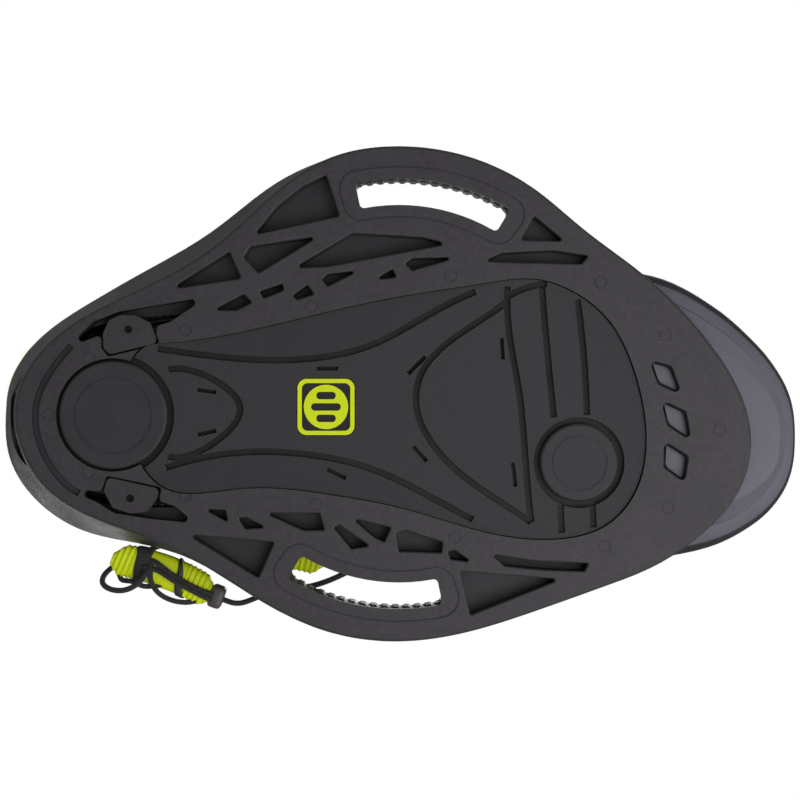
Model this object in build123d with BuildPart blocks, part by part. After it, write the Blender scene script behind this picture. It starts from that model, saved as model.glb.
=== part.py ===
"""Wakeboard binding: a laced boot on a moulded chassis that bolts to the board by two arc slots.

Frame: origin at the centre of the slots' pitch circle, on the face that meets the board.
+X points to the toe, +Y to the medial side of this right foot, +Z up. Millimetres.
"""
import os
from math import cos, degrees, pi, radians, sin, tan

from build123d import *

os.makedirs("parts", exist_ok=True)

# ---- driving dimensions -------------------------------------------------------------------
PITCH_R = 76.2          # slots' pitch radius: 6 in between opposite M6 bolts
SLOT_W = 10.0           # width of a slot
SLOT_SPAN = 42.8        # angle of a slot's centre line, degrees
SLOT_MID = 9.7          # angle of a slot's middle from the Y axis, degrees
TOOTH_PITCH = 4.15      # spacing of the teeth on a slot's outer wall
TOOTH_R = 1.45          # radius of each scallop between two teeth
SLOT_CORNER = 1.7       # corner radius of a slot
TOOTH_Z = 4.0           # height above the board face where the teeth start
TOOTH_H = 0.6           # height of a tooth across the slot
LINE_W = 0.65           # width of the shallow line round each slot
LINE_CORNER = 7.4       # its corner radius
LINE_REACH = 5.0        # its reach past each slot end, degrees
LEDGE = 4.8             # distance from a slot to the shallow line around it
WING_T = 12.0           # thickness of the frame at its wings
FLANGE_T = 4.0          # thickness of the flange under the boot and of the toe plate
CUP_H = 28.0            # height of the heel cup's rim
CUP_WALL = 3.2          # thickness of the heel cup's wall
POCKET_D = 8.5          # depth of the weight-saving pockets
SOLE_Z = 1.0            # underside of the foam sole, just inside the frame's face
SOLE_TOP = 10.0         # top of the foam sole
BOARD_T = 1.6           # lasting board
FOOTBED_T = 5.0         # footbed
SHELL_T = 3.4           # wall of the boot's outer shell
LINER_T = 6.5           # wall of the padded liner
BOOT_H = 236.0          # top of the shaft
LACE_D = 3.2            # lace diameter
GROOVE_W = 2.5          # width of the grooves in the sole
GROOVE_D = 1.6          # depth of the grooves in the sole
HINGE = (52.0, 5.0, 92.0)   # middle of the line about which the tongue folds forward
MID_Y = 7.0             # the shaft's middle plane
FOOT_HALF_W = 48.0      # typical half width of the foot, for drawing it in evenly
FOOT_TALL = 95.0        # typical height of the foot, for drawing it in evenly


def save(part, name):
    """Label one finished piece and write its STEP file."""
    part.label = name
    export_step(part, f"parts/{name}.step")


# ---- outlines -----------------------------------------------------------------------------
FRONT_EDGE = [
    (0, -93.5), (28.2, -89), (51.5, -77.2), (70.5, -61.6), (86.4, -49.7), (102, -36.5), (117, -19.5), (129, 0),
    (133, 18), (128.5, 36.5), (114.5, 53), (98.3, 64.2), (76.3, 73.3), (50.2, 82.6), (24, 90.5), (0, 93.6)]
FRAME_EDGE = [
    (-144.5, 4), (-141, -7), (-131, -20), (-114, -31.5), (-92, -42), (-70, -55), (-48, -74.5), (-26, -89),
    *FRONT_EDGE, (-26, 90.2), (-50.6, 79.2), (-74, 64.5), (-97, 53.5), (-119, 45), (-134, 34.5), (-142, 21)]
CUP_EDGE = [
    (-155, 3), (-151, -10.5), (-139.7, -24), (-120, -37.4), (-95.3, -53.3), (-73.4, -68.6), (-51.5, -84.6),
    (-27, -91.6), *FRONT_EDGE, (-26, 90.2), (-50.6, 80.2), (-74.3, 67.6), (-99, 60), (-124.6, 54.3),
    (-143.3, 42.2), (-154, 25)]
OPENING_EDGE = [
    (-92, -19), (-66, -22), (-37, -28.5), (2, -37), (31, -41.5), (54, -43), (67, -38), (79.5, -27.5),
    (89, -8.5), (93.5, 17), (89.5, 37), (78, 50), (60, 55), (31, 52), (2, 43.5), (-27, 38),
    (-60, 36), (-92, 33.5)]
HEEL_C, HEEL_R = (-108.0, 8.0), 20.6
BALL_C, BALL_R = (68.0, 26.0), 14.8
BADGE_C, BADGE_W = (-27.5, 5.0), 21.5

POCKETS = {
    "wing": [
        [(-86, -39.5), (-64, -53.5), (-59.5, -43.5)],
        [(-58.5, -51.5), (-56, -55.5), (-30, -59.5), (-53, -45.5)],
        [(-54.5, -60), (-46, -70.5), (-36.5, -78), (-27.5, -82.5), (-22.5, -67)],
        [(-39.5, -47.5), (-17.5, -60.5), (9, -59), (18.5, -56.5), (-27, -48)],
        [(51, -67), (46, -58), (62.5, -57.5)],
        [(-80, 53), (-47, 56), (-53, 69.5)],
        [(23, 67), (61, 70), (27, 83.5)]],
    "rail": [
        [(32, -50), (39, -53), (58, -54), (71.5, -52), (69, -49), (45, -49.5)],
        [(-70, -31.5), (-58.5, -37.5), (-55.5, -34.5), (-61, -31.5)],
        [(-52.5, -38.5), (-44, -41.5), (-43.5, -39), (-51, -36)],
        [(-40, -37), (-34.5, -41), (-32, -37.5), (-38.5, -35.5)],
        [(-29, -43), (-27, -45), (-15, -46.5), (-27, -40.5)],
        [(-9, -43), (-2.5, -47), (-1, -44)],
        [(2.5, -49), (5, -51), (22, -51.5), (5, -46.5)],
        [(35, 60.5), (50, 63), (71.5, 64), (70, 67), (55, 66.5), (40, 65)],
        [(-73.5, 43.5), (-65.5, 44), (-64.5, 48.5)],
        [(-60.5, 47), (-58, 46.5), (-50, 50.5), (-58, 51)],
        [(-50.5, 45), (-30, 45), (-28, 51.5), (-36, 51.5)],
        [(-24.5, 50.5), (-22.5, 49.5), (-11, 57.5), (-18, 58.5)],
        [(-17.5, 47), (-3, 50.5), (-5.5, 56), (-9.5, 54)],
        [(-1, 52.5), (2.5, 51.5), (16.5, 56), (16, 60), (0, 59.5)],
        [(18.5, 59.5), (21, 59), (27.5, 63.5), (19.5, 62.5)]],
}
TOE_WINDOWS = [
    [(94.3, -13), (103, -10.5), (107.3, 1), (97.5, -3.5)],
    [(98.7, 2), (108.5, 6.5), (110.7, 18.5), (101, 12)],
    [(100, 17.5), (109.5, 23.5), (108, 34), (99.7, 28)]]

GROOVES = [
    [(-91, -17), (-57, -13), (-33, -13.3), (-10, -18.5), (8, -28), (29, -38.5)],
    [(-87, -9), (-67, -3.5), (-60, 5), (-67, 16.5), (-87, 23.5)],
    [(-88, 28), (-57, 22), (-34, 23), (-10, 28.5), (12, 39), (28, 47.5)],
    [(41, -35), (21.5, -21.5), (8, -6.5), (6.5, 4), (12, 18), (31, 36), (50, 48.5)],
    [(41, -40.5), (42, -20.5), (45.5, 0), (48, 28), (50, 48.5)],
    [(54, -40), (55.5, -22), (58.5, 9)],
    [(67.5, -35.5), (69.5, -18), (71, 8)],
    [(41.5, -37), (50, -40.5), (56, -41.5)],
    [(61, 42), (61.3, 48), (61.5, 52.5)],
    [(73, 42), (73.3, 46), (73.5, 50.5)]]
SLITS = [
    ((-31, -9.5), (-23, -9.5)), ((-76, -1.5), (-69, -0.5)), ((-76, 15.5), (-69, 14)), ((-27, 28.5), (-20, 32)),
    ((3.5, -7.5), (10, -14)), ((5.5, 20), (10.5, 25.5)), ((38.8, -21), (39.3, -13)), ((43, 26), (44, 35))]

# Boot sections across the foot: x, lateral y, medial y, top z, bottom z
FOOT = [
    (151.4, 12, 21, 26, 12), (148.4, 1.5, 31.5, 36, 2), (140.5, -12.5, 43, 47, -6), (125.5, -28.5, 54, 59, -8),
    (98.0, -45.3, 62, 73, -8), (62.0, -50, 65, 89, -8), (20.0, -49, 59, 108, -8), (-25.0, -43, 50, 122, -8),
    (-70.0, -36, 46, 122, -8), (-110.0, -31, 45, 110, -8), (-136.0, -17, 33, 92, -6), (-149.0, -1, 17, 66, 14)]
# Shaft sections: z, middle x, half length, half width
SHAFT = [
    (62.0, -79, 64, 37), (100.0, -76, 62, 39), (140.0, -76, 60, 43), (180.0, -79, 61, 48),
    (BOOT_H, -83, 64, 52)]


def closed_face(points, grow=0.0):
    """Add a face inside a smooth closed curve to the current sketch, grown by an offset."""
    with BuildSketch(mode=Mode.PRIVATE) as raw:
        with BuildLine():
            Spline(*points, periodic=True)
        make_face()
        if grow:
            offset(amount=grow)
    add(raw.sketch)


def slot_face(middle_angle, inner, outer, corner, extra=0.0):
    """Add a curved window between two radii, its ends square with rounded corners; angles from +X in degrees."""
    start = middle_angle - SLOT_SPAN / 2 - extra
    with BuildSketch(mode=Mode.PRIVATE) as raw:
        with BuildLine():
            near = CenterArc((0, 0), inner, start, SLOT_SPAN + 2 * extra)
            far = CenterArc((0, 0), outer, start, SLOT_SPAN + 2 * extra)
            Line(near @ 0, far @ 0)
            Line(near @ 1, far @ 1)
        make_face()
        fillet(raw.vertices(), corner)
    add(raw.sketch)


def rounded_polygon(corners, radius, grow=0.0):
    """Add a polygon with rounded corners to the current sketch."""
    with BuildSketch(mode=Mode.PRIVATE) as raw:
        Polygon(*corners, align=None)
        if grow:
            offset(amount=grow, kind=Kind.INTERSECTION)
        fillet(raw.vertices(), radius)
    add(raw.sketch)


SLOT_ANGLES = (-90 + SLOT_MID, 90 + SLOT_MID)


# ---- chassis frame ------------------------------------------------------------------------
def side_profile():
    """Side view of the frame: heel cup, wings, then down to the thin toe plate."""
    with BuildPart(mode=Mode.PRIVATE) as keep:
        with BuildSketch(Plane.XZ.offset(-120)):
            with BuildLine():
                Polyline((-170, CUP_H), (-170, -1), (150, -1), (150, FLANGE_T - 0.6), (99, FLANGE_T),
                         (72, WING_T), (-20, WING_T))
                Spline((-20, WING_T), (-55, WING_T + 3), (-95, CUP_H - 5), (-128, CUP_H),
                       tangents=((-1, 0), (-1, 0)))
                Line((-128, CUP_H), (-170, CUP_H))
            make_face()
        extrude(amount=240)
    return keep.part


def flared(grow):
    """The frame's outer form: straight at the wings and toe, opening outward round the heel."""
    with BuildPart(mode=Mode.PRIVATE) as form:
        with BuildSketch(Plane.XY):
            closed_face(FRAME_EDGE, grow)
        with BuildSketch(Plane.XY.offset(CUP_H + 2)):
            closed_face(CUP_EDGE, grow)
        loft()
    return form.part


def slot_cutter():
    """Slots cut right through: smooth at the board face, with a scalloped outer wall above it."""
    inner, outer = PITCH_R - SLOT_W / 2, PITCH_R + SLOT_W / 2
    count = int(radians(SLOT_SPAN - 3) * outer / TOOTH_PITCH)
    step = degrees(TOOTH_PITCH / outer)
    with BuildPart(mode=Mode.PRIVATE) as cutter:
        with BuildSketch(Plane.XY.offset(-1)):
            for middle in SLOT_ANGLES:
                slot_face(middle, inner, outer, SLOT_CORNER)
        extrude(amount=TOOTH_Z + 1)
        with BuildSketch(Plane.XY.offset(TOOTH_Z)):
            for middle in SLOT_ANGLES:
                slot_face(middle, inner, outer - TOOTH_H, SLOT_CORNER)
                with PolarLocations(outer - TOOTH_R, count + 1, middle - count * step / 2, count * step,
                                    endpoint=True):
                    Circle(TOOTH_R)
        extrude(amount=WING_T)
    return cutter.part


def slot_lines():
    """Shallow line around each slot, in the board face."""
    inner, outer = PITCH_R - SLOT_W / 2 - LEDGE, PITCH_R + SLOT_W / 2 + LEDGE
    with BuildPart(mode=Mode.PRIVATE) as lines:
        with BuildSketch(Plane.XY):
            for middle in SLOT_ANGLES:
                slot_face(middle, inner, outer, LINE_CORNER, LINE_REACH)
            for middle in SLOT_ANGLES:
                with BuildSketch(mode=Mode.PRIVATE) as island:
                    slot_face(middle, inner + LINE_W, outer - LINE_W, LINE_CORNER - LINE_W,
                              LINE_REACH - degrees(LINE_W / PITCH_R))
                add(island.sketch, mode=Mode.SUBTRACT)
        extrude(amount=0.5)
    return lines.part


def pocket_cutter():
    """Weight-saving pockets, open to the board face."""
    with BuildPart(mode=Mode.PRIVATE) as cutter:
        for kind, radius in (("wing", 0.7), ("rail", 0.5)):
            for corners in POCKETS[kind]:
                with BuildSketch(Plane.XY):
                    rounded_polygon(corners, radius)
                extrude(amount=POCKET_D)
    return cutter.part


def cup_space():
    """Everything inside the heel cup's wall above the wings."""
    with BuildPart(mode=Mode.PRIVATE) as space:
        add(flared(-CUP_WALL))
        split(bisect_by=Plane.XY.offset(WING_T), keep=Keep.TOP)
    return space.part


# ---- boot form ----------------------------------------------------------------------------
def foot_form(inset):
    """The foot of the boot, lofted along its length and drawn in by the inset."""
    middle = (FOOT[0][0] + FOOT[-1][0]) / 2
    shrink_x = 1 - 2 * inset / (FOOT[0][0] - FOOT[-1][0])
    shrink_y, shrink_z = 1 - inset / FOOT_HALF_W, 1 - inset / FOOT_TALL
    with BuildPart(mode=Mode.PRIVATE) as form:
        for x, lateral, medial, top, bottom in FOOT:
            centre, wide = (lateral + medial) / 2, (medial - lateral) * shrink_y
            low, high, tall = centre - wide / 2, centre + wide / 2, (top - bottom) * shrink_z
            half = [(0.14, 0.02), (0.01, 0.28), (0.05, 0.6), (0.22, 0.89)]
            points = [(low + a * wide, bottom + b * tall) for a, b in half]
            points += [(centre, bottom + tall)]
            points += [(high - a * wide, bottom + b * tall) for a, b in reversed(half)]
            plane = Plane((middle + (x - middle) * shrink_x, 0, 0), x_dir=(0, 1, 0), z_dir=(1, 0, 0))
            with BuildSketch(plane):
                closed_face(points)
        loft()
        split(bisect_by=Plane.XY.offset(FLANGE_T), keep=Keep.TOP)
    return form.part


def shaft_form(inset, extra):
    """The shaft of the boot, drawn in by the inset and extended at its top."""
    with BuildPart(mode=Mode.PRIVATE) as form:
        for z, x, long, wide in SHAFT[:-1] + [(SHAFT[-1][0] + extra,) + SHAFT[-1][1:]]:
            with BuildSketch(Plane.XY.offset(z)):
                with Locations((x, MID_Y)):
                    Ellipse(long - inset, wide - inset)
        loft()
    return form.part


def boot_form(inset, extra=0.0):
    """Whole boot form: foot and shaft in one."""
    with BuildPart(mode=Mode.PRIVATE) as form:
        add(foot_form(inset))
        add(shaft_form(inset, extra))
    return form.part


# ---- openings in the frame ------------------------------------------------------------------
LUG_RECESS = [
    [(-125.5, -17), (-115.4, -27.2), (-105.7, -31), (-96, -32.6), (-71.5, -36.8), (-86.3, -27),
     (-91.3, -25.5), (-91.3, -22), (-89.9, -18.7), (-109.6, -13.9), (-112.3, -17.3), (-112.2, -22.3)],
    [(-125, 36.2), (-114.3, 40.8), (-107.5, 45), (-94, 47.2), (-76.5, 49), (-84, 42.6), (-90.4, 40.4),
     (-89.3, 35.2), (-110.4, 30.8), (-112, 36.6)]]
LUGS = [
    [(-111.6, -17.6), (-111.6, -23), (-109.2, -27.8), (-105, -29.7), (-99.2, -29.5), (-93.8, -26.7),
     (-90.8, -19.3), (-109.3, -14.8)],
    [(-110, 31.5), (-111.3, 36.8), (-108, 43), (-101.4, 45.2), (-94.9, 44.6), (-91.1, 39.2), (-90.2, 35.9)]]
LUG_HOLES = [(-102.1, -24.3), (-101.4, 39.5)]
HEEL_CHANNEL = [(-123.5, -18.2), (-130.5, -9.5), (-135.6, 0), (-137.1, 8), (-135.9, 17), (-132, 26),
                (-126.5, 33.2), (-120.5, 37.6)]
PIN_MARKS = [(-117, -13.5), (-132.2, 8), (-117, 29.5), (-80.5, -24), (-80.5, 38.5), (-33, -33), (-31.5, 41.5),
             (19.5, -44.5), (21, 54), (76, -42), (77.5, 57.5), (100.5, -22), (121, 13.5), (101.5, 43)]
PIN_R = 2.4


def opening_prism(bottom, top, shrink=1.0):
    """The frame's central opening: the sole's outline joined to the round heel opening."""
    with BuildPart(mode=Mode.PRIVATE) as prism_part:
        with BuildSketch(Plane.XY.offset(bottom)):
            closed_face([(x * shrink, y * shrink) for x, y in OPENING_EDGE])
            with Locations(HEEL_C):
                Circle((HEEL_R + 0.8) * shrink ** 2)
            with Locations((HEEL_C[0] + 14, HEEL_C[1])):
                Rectangle(24, 30)
        extrude(amount=top - bottom)
    return prism_part.part


def prism(points_list, radius, bottom, top):
    """Straight walls round several rounded polygons, from one height to another."""
    with BuildPart(mode=Mode.PRIVATE) as block:
        with BuildSketch(Plane.XY.offset(bottom)):
            for points in points_list:
                rounded_polygon(points, radius)
        extrude(amount=top - bottom)
    return block.part


def surface_marks():
    """Round ejector marks and the channel inside the heel rim, in the board face."""
    with BuildPart(mode=Mode.PRIVATE) as marks:
        with BuildSketch(Plane.XY):
            for x, y in PIN_MARKS:
                with Locations((x, y)):
                    Circle(PIN_R)
                    Circle(PIN_R - 0.35, mode=Mode.SUBTRACT)
        extrude(amount=0.25)
        with BuildSketch(Plane.XY.offset(-0.5)):
            with BuildLine(mode=Mode.PRIVATE) as path:
                Spline(*HEEL_CHANNEL)
            trace(path.line, 2.6)
        extrude(amount=2.6)
    return marks.part


with BuildPart() as chassis_frame:
    add(flared(0))
    add(side_profile(), mode=Mode.INTERSECT)
    fillet(chassis_frame.faces().sort_by(Axis.Z)[0].outer_wire().edges(), 1.2)
    add(cup_space(), mode=Mode.SUBTRACT)
    add(foot_form(-0.4), mode=Mode.SUBTRACT)
    add(pocket_cutter(), mode=Mode.SUBTRACT)
    for wire in chassis_frame.faces().sort_by(Axis.Z)[0].inner_wires():
        fillet(wire.edges(), 0.7)
    add(opening_prism(-1, FLANGE_T + 1), mode=Mode.SUBTRACT)
    add(prism(LUG_RECESS, 1.5, -1, WING_T - 3), mode=Mode.SUBTRACT)
    add(prism(TOE_WINDOWS, 1.8, -1, WING_T), mode=Mode.SUBTRACT)
    add(slot_cutter(), mode=Mode.SUBTRACT)
    add(slot_lines(), mode=Mode.SUBTRACT)
    add(surface_marks(), mode=Mode.SUBTRACT)
save(chassis_frame.part, "chassis_frame")

# ---- heel lugs and their screws --------------------------------------------------------------
with BuildPart() as heel_lugs:
    add(prism(LUGS, 2.0, 0.5, FLANGE_T))
    with Locations(*[(x, y, 0.5) for x, y in LUG_HOLES]):
        CounterBoreHole(1.0, 1.5, 1.7, depth=6.0)
save(heel_lugs.part, "heel_lugs")

with BuildPart() as heel_lug_screws:
    for x, y in LUG_HOLES:
        with BuildSketch(Plane.XY.offset(1.2)):
            with Locations((x, y)):
                Circle(1.4)
        extrude(amount=1.0)
        with BuildSketch(Plane.XY.offset(2.2)):
            with Locations((x, y)):
                Circle(0.9)
        extrude(amount=FLANGE_T - 2.2)
        with BuildSketch(Plane.XY.offset(1.2)):
            with Locations((x, y)):
                RegularPolygon(0.75, 6)
        extrude(amount=0.7, mode=Mode.SUBTRACT)
save(heel_lug_screws.part, "heel_lug_screws")

# ---- the boot's nested forms -----------------------------------------------------------------
outer_form = boot_form(0)
core_form = boot_form(SHELL_T, 14)
cavity_form = boot_form(SHELL_T + LINER_T, 26)
skin_form = boot_form(-1.4)
shell = outer_form - core_form


def slab(bottom, top):
    """A large flat slab between two heights."""
    with BuildPart(mode=Mode.PRIVATE) as block:
        with BuildSketch(Plane.XY.offset(bottom)):
            Rectangle(420, 260)
        extrude(amount=top - bottom)
    return block.part


def region(x_range, y_range, z_range):
    """A box given by its three ranges."""
    with BuildPart(mode=Mode.PRIVATE) as block:
        with BuildSketch(Plane.XY.offset(z_range[0])):
            with Locations(((x_range[0] + x_range[1]) / 2, (y_range[0] + y_range[1]) / 2)):
                Rectangle(x_range[1] - x_range[0], y_range[1] - y_range[0])
        extrude(amount=z_range[1] - z_range[0])
    return block.part


# ---- sole, its pads and badge ----------------------------------------------------------------
with BuildPart() as sole_pad:
    add(core_form)
    add(slab(FLANGE_T, SOLE_TOP), mode=Mode.INTERSECT)
    add(opening_prism(SOLE_Z, FLANGE_T + 2, 0.994))
    add(shell, mode=Mode.SUBTRACT)
    with BuildSketch(Plane.XY.offset(SOLE_Z)):
        for points in GROOVES:
            with BuildLine(mode=Mode.PRIVATE) as path:
                Spline(*points)
            trace(path.line, GROOVE_W)
    extrude(amount=GROOVE_D, mode=Mode.SUBTRACT)
    with BuildSketch(Plane.XY.offset(SOLE_Z)):
        for start, end in SLITS:
            with BuildLine(mode=Mode.PRIVATE) as path:
                Line(start, end)
            trace(path.line, 1.5)
        with Locations(HEEL_C):
            Circle(HEEL_R + 2.6)
        with Locations(BALL_C):
            Circle(BALL_R + 2.4)
    extrude(amount=2.6, mode=Mode.SUBTRACT)
    with BuildSketch(Plane.XY.offset(SOLE_Z)):
        with Locations(BADGE_C):
            RectangleRounded(BADGE_W + 0.6, BADGE_W + 0.3, 3.6)
    extrude(amount=1.2, mode=Mode.SUBTRACT)
save(sole_pad.part, "sole_pad")

for name, centre, radius in (("heel_pad_disc", HEEL_C, HEEL_R), ("ball_pad_disc", BALL_C, BALL_R)):
    with BuildPart() as disc:
        with BuildSketch(Plane.XY.offset(SOLE_Z - 0.3)):
            with Locations(centre):
                Circle(radius)
        extrude(amount=2.9)
        fillet(disc.faces().sort_by(Axis.Z)[0].edges(), 1.2)
        with BuildSketch(Plane.XY.offset(SOLE_Z - 0.3)):
            with Locations(centre):
                Circle(radius * 0.72)
                Circle(radius * 0.72 - 0.8, mode=Mode.SUBTRACT)
        extrude(amount=0.3, mode=Mode.SUBTRACT)
    save(disc.part, name)

with BuildPart() as sole_badge:
    with BuildSketch(Plane.XY.offset(SOLE_Z - 0.2)):
        with Locations(BADGE_C):
            RectangleRounded(BADGE_W, BADGE_W - 0.3, 3.4)
    extrude(amount=1.4)
    with BuildSketch(Plane.XY.offset(SOLE_Z - 0.2)):
        with Locations(BADGE_C):
            RectangleRounded(BADGE_W - 3.2, BADGE_W - 3.5, 2.2)
            Circle(BADGE_W * 0.39, mode=Mode.SUBTRACT)
            RectangleRounded(BADGE_W * 0.52, BADGE_W * 0.13, BADGE_W * 0.06)
        for side in (-1, 1):
            with Locations((BADGE_C[0], BADGE_C[1] + side * BADGE_W * 0.2)):
                RectangleRounded(BADGE_W * 0.34, BADGE_W * 0.13, BADGE_W * 0.06)
    extrude(amount=0.5, mode=Mode.SUBTRACT)
save(sole_badge.part, "sole_badge")

# ---- layers inside the boot ------------------------------------------------------------------
BOARD_TOP = SOLE_TOP + BOARD_T
FOOTBED_TOP = BOARD_TOP + FOOTBED_T

with BuildPart() as lasting_board:
    add(core_form)
    add(slab(SOLE_TOP, BOARD_TOP), mode=Mode.INTERSECT)
save(lasting_board.part, "lasting_board")

with BuildPart() as footbed:
    add(cavity_form)
    add(slab(BOARD_TOP, FOOTBED_TOP), mode=Mode.INTERSECT)
save(footbed.part, "footbed")

with BuildPart() as liner:
    add(core_form)
    add(slab(BOARD_TOP, BOOT_H), mode=Mode.INTERSECT)
    add(cavity_form, mode=Mode.SUBTRACT)
save(liner.part, "liner")

with BuildPart() as collar_pad:
    add(core_form)
    add(slab(BOOT_H, BOOT_H + 10), mode=Mode.INTERSECT)
    add(cavity_form, mode=Mode.SUBTRACT)
save(collar_pad.part, "collar_pad")

# ---- outer shell of the boot -----------------------------------------------------------------
THROAT_Y = 6.0
THROAT_HALF = 21.0
THROAT_FRONT = 50.0
CUFF_Z = 108.0

throat = region((-62, THROAT_FRONT), (THROAT_Y - THROAT_HALF, THROAT_Y + THROAT_HALF), (70, 280))
open_shell = shell - throat
SHELL_PIECES = {
    "toe_cap": ((88, 200), (-100, 100), (0, CUFF_Z)),
    "vamp": ((28, 88), (-100, 100), (0, CUFF_Z)),
    "quarter_lateral": ((-62, 28), (-100, THROAT_Y), (0, CUFF_Z)),
    "quarter_medial": ((-62, 28), (THROAT_Y, 100), (0, CUFF_Z)),
    "heel_counter": ((-200, -62), (-100, 100), (0, CUFF_Z)),
    "cuff": ((-200, 60), (-100, 100), (CUFF_Z, 280)),
}
for name, ranges in SHELL_PIECES.items():
    with BuildPart() as piece:
        add(open_shell)
        add(region(*ranges), mode=Mode.INTERSECT)
    save(piece.part, name)

with BuildPart() as toe_rand:
    add(skin_form)
    add(outer_form, mode=Mode.SUBTRACT)
    add(region((100, 200), (-100, 100), (FLANGE_T, FLANGE_T + 9)), mode=Mode.INTERSECT)
save(toe_rand.part, "toe_rand")

# ---- tongue ----------------------------------------------------------------------------------
with BuildPart() as tongue:
    add(boot_form(-1.0))
    add(boot_form(SHELL_T - 0.5, 14), mode=Mode.SUBTRACT)
    add(region((-62, THROAT_FRONT - 1.5), (THROAT_Y - THROAT_HALF + 1.5, THROAT_Y + THROAT_HALF - 1.5),
               (70, BOOT_H - 1)), mode=Mode.INTERSECT)
save(tongue.part, "tongue")

# ---- lacing ----------------------------------------------------------------------------------
GUIDE_Y = THROAT_HALF + 6.0     # distance of a lace guide from the throat's middle line
LOWER_LEVELS = [("up", 38.0), ("up", 22.0), ("up", 6.0), ("forward", 132.0)]
UPPER_LEVELS = [("forward", 152.0), ("forward", 174.0), ("forward", 196.0), ("forward", 218.0)]


def on_skin(level, y, lift):
    """Point above the boot's surface at a lacing level, on a line parallel to the middle."""
    way, place = level
    if way == "up":
        axis = Axis((place, y, 60), (0, 0, 1))
    else:
        axis = Axis((-60, y, place), (1, 0, 0))
    hit, normal = skin_form.find_intersection_points(axis)[-1]
    return hit + normal * lift


def between(first, second, share):
    """A level part of the way between two lacing levels."""
    if first[0] == second[0]:
        return first[0], first[1] + (second[1] - first[1]) * share
    if share < 0.5:
        return first[0], first[1] - 16 * share
    return second[0], second[1] - 16 * (1 - share)


def lace_strand(levels, first_side, crossing_lift):
    """One strand that crosses the throat from guide to guide."""
    points = []
    side = first_side
    for number, level in enumerate(levels):
        points.append(on_skin(level, THROAT_Y + side * GUIDE_Y, 3.2))
        if number < len(levels) - 1:
            for share, across in ((0.34, 10.0), (0.66, -10.0)):
                over = between(level, levels[number + 1], share)
                points.append(on_skin(over, THROAT_Y + side * across, crossing_lift))
        side = -side
    radii = [2.2 if number % 3 == 0 else 7.0 for number in range(1, len(points) - 1)]
    with BuildPart(mode=Mode.PRIVATE) as strand:
        with BuildLine() as route:
            FilletPolyline(*points, radius=radii)
        with BuildSketch(Plane(route.line @ 0, z_dir=route.line % 0)):
            Circle(LACE_D / 2)
        sweep()
    return strand.part


def guide_blocks(levels):
    """Small moulded guides on the eyestays, one at each side of every level."""
    with BuildPart(mode=Mode.PRIVATE) as blocks:
        for level in levels:
            for side in (-1, 1):
                centre = on_skin(level, THROAT_Y + side * GUIDE_Y, 2.0)
                with Locations(centre):
                    Box(9, 8, 9)
        add(skin_form, mode=Mode.SUBTRACT)
    return blocks.part


lower_lace = lace_strand(LOWER_LEVELS, -1, 4.0) + lace_strand(LOWER_LEVELS, 1, 7.8)
upper_lace = lace_strand(UPPER_LEVELS, -1, 4.0) + lace_strand(UPPER_LEVELS, 1, 7.8)
save(lower_lace, "lower_lace")
save(upper_lace, "upper_lace")
lace_guides = guide_blocks(LOWER_LEVELS + UPPER_LEVELS) - lower_lace - upper_lace
save(lace_guides, "lace_guides")

for side, name in ((-1, "eyestay_lateral"), (1, "eyestay_medial")):
    inner, outer = sorted((THROAT_Y + side * THROAT_HALF, THROAT_Y + side * (THROAT_HALF + 11)))
    with BuildPart() as eyestay:
        add(skin_form)
        add(outer_form, mode=Mode.SUBTRACT)
        add(region((-60, THROAT_FRONT - 4), (inner, outer), (70, BOOT_H - 2)), mode=Mode.INTERSECT)
    save(eyestay.part, name)

# ---- lace locks and their buttons --------------------------------------------------------------
LOCKS = {"lower": (-22.0, 55.0, 86.0), "upper": (-80.0, 66.0, 186.0)}
LOCK_SIZE = (24.0, 17.0)
BUTTON_R, BUTTON_PROUD, BUTTON_SUNK, BUTTON_TRAVEL = 5.0, 3.2, 3.0, 2.5

with BuildPart() as lace_locks:
    for x, y, z in LOCKS.values():
        with BuildSketch(Plane.XZ.offset(-y)):
            with Locations((x, z)):
                RectangleRounded(*LOCK_SIZE, 5)
        extrude(amount=26)
    add(skin_form, mode=Mode.SUBTRACT)
    for x, y, z in LOCKS.values():
        with BuildSketch(Plane.XZ.offset(-y)):
            with Locations((x, z)):
                Circle(BUTTON_R + 0.4)
        extrude(amount=BUTTON_SUNK + BUTTON_TRAVEL + 0.4, mode=Mode.SUBTRACT)
save(lace_locks.part, "lace_locks")

for level, (x, y, z) in LOCKS.items():
    with BuildPart() as button:
        with BuildSketch(Plane.XZ.offset(-y - BUTTON_PROUD)):
            with Locations((x, z)):
                Circle(BUTTON_R)
        extrude(amount=BUTTON_PROUD + BUTTON_SUNK)
        fillet(button.faces().sort_by(Axis.Y)[-1].edges(), 1.0)
    save(button.part, f"{level}_lock_button")

# ---- pull handles and their cords --------------------------------------------------------------
HANDLES = {"rear_lace_handle": ((-92.5, 71.5, 25.0), 20.0), "front_lace_handle": ((-49.5, 59.0, 21.0), 8.0)}
HANDLE_SIZE = (42.0, 12.0, 7.0)

for name, (centre, turn) in HANDLES.items():
    with BuildPart() as handle:
        with BuildSketch(Plane(centre, x_dir=(cos(radians(turn)), sin(radians(turn)), 0), z_dir=(0, 0, 1))):
            RectangleRounded(HANDLE_SIZE[0], HANDLE_SIZE[1], 3)
        extrude(amount=HANDLE_SIZE[2] / 2, both=True)
    save(handle.part, name)

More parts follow.
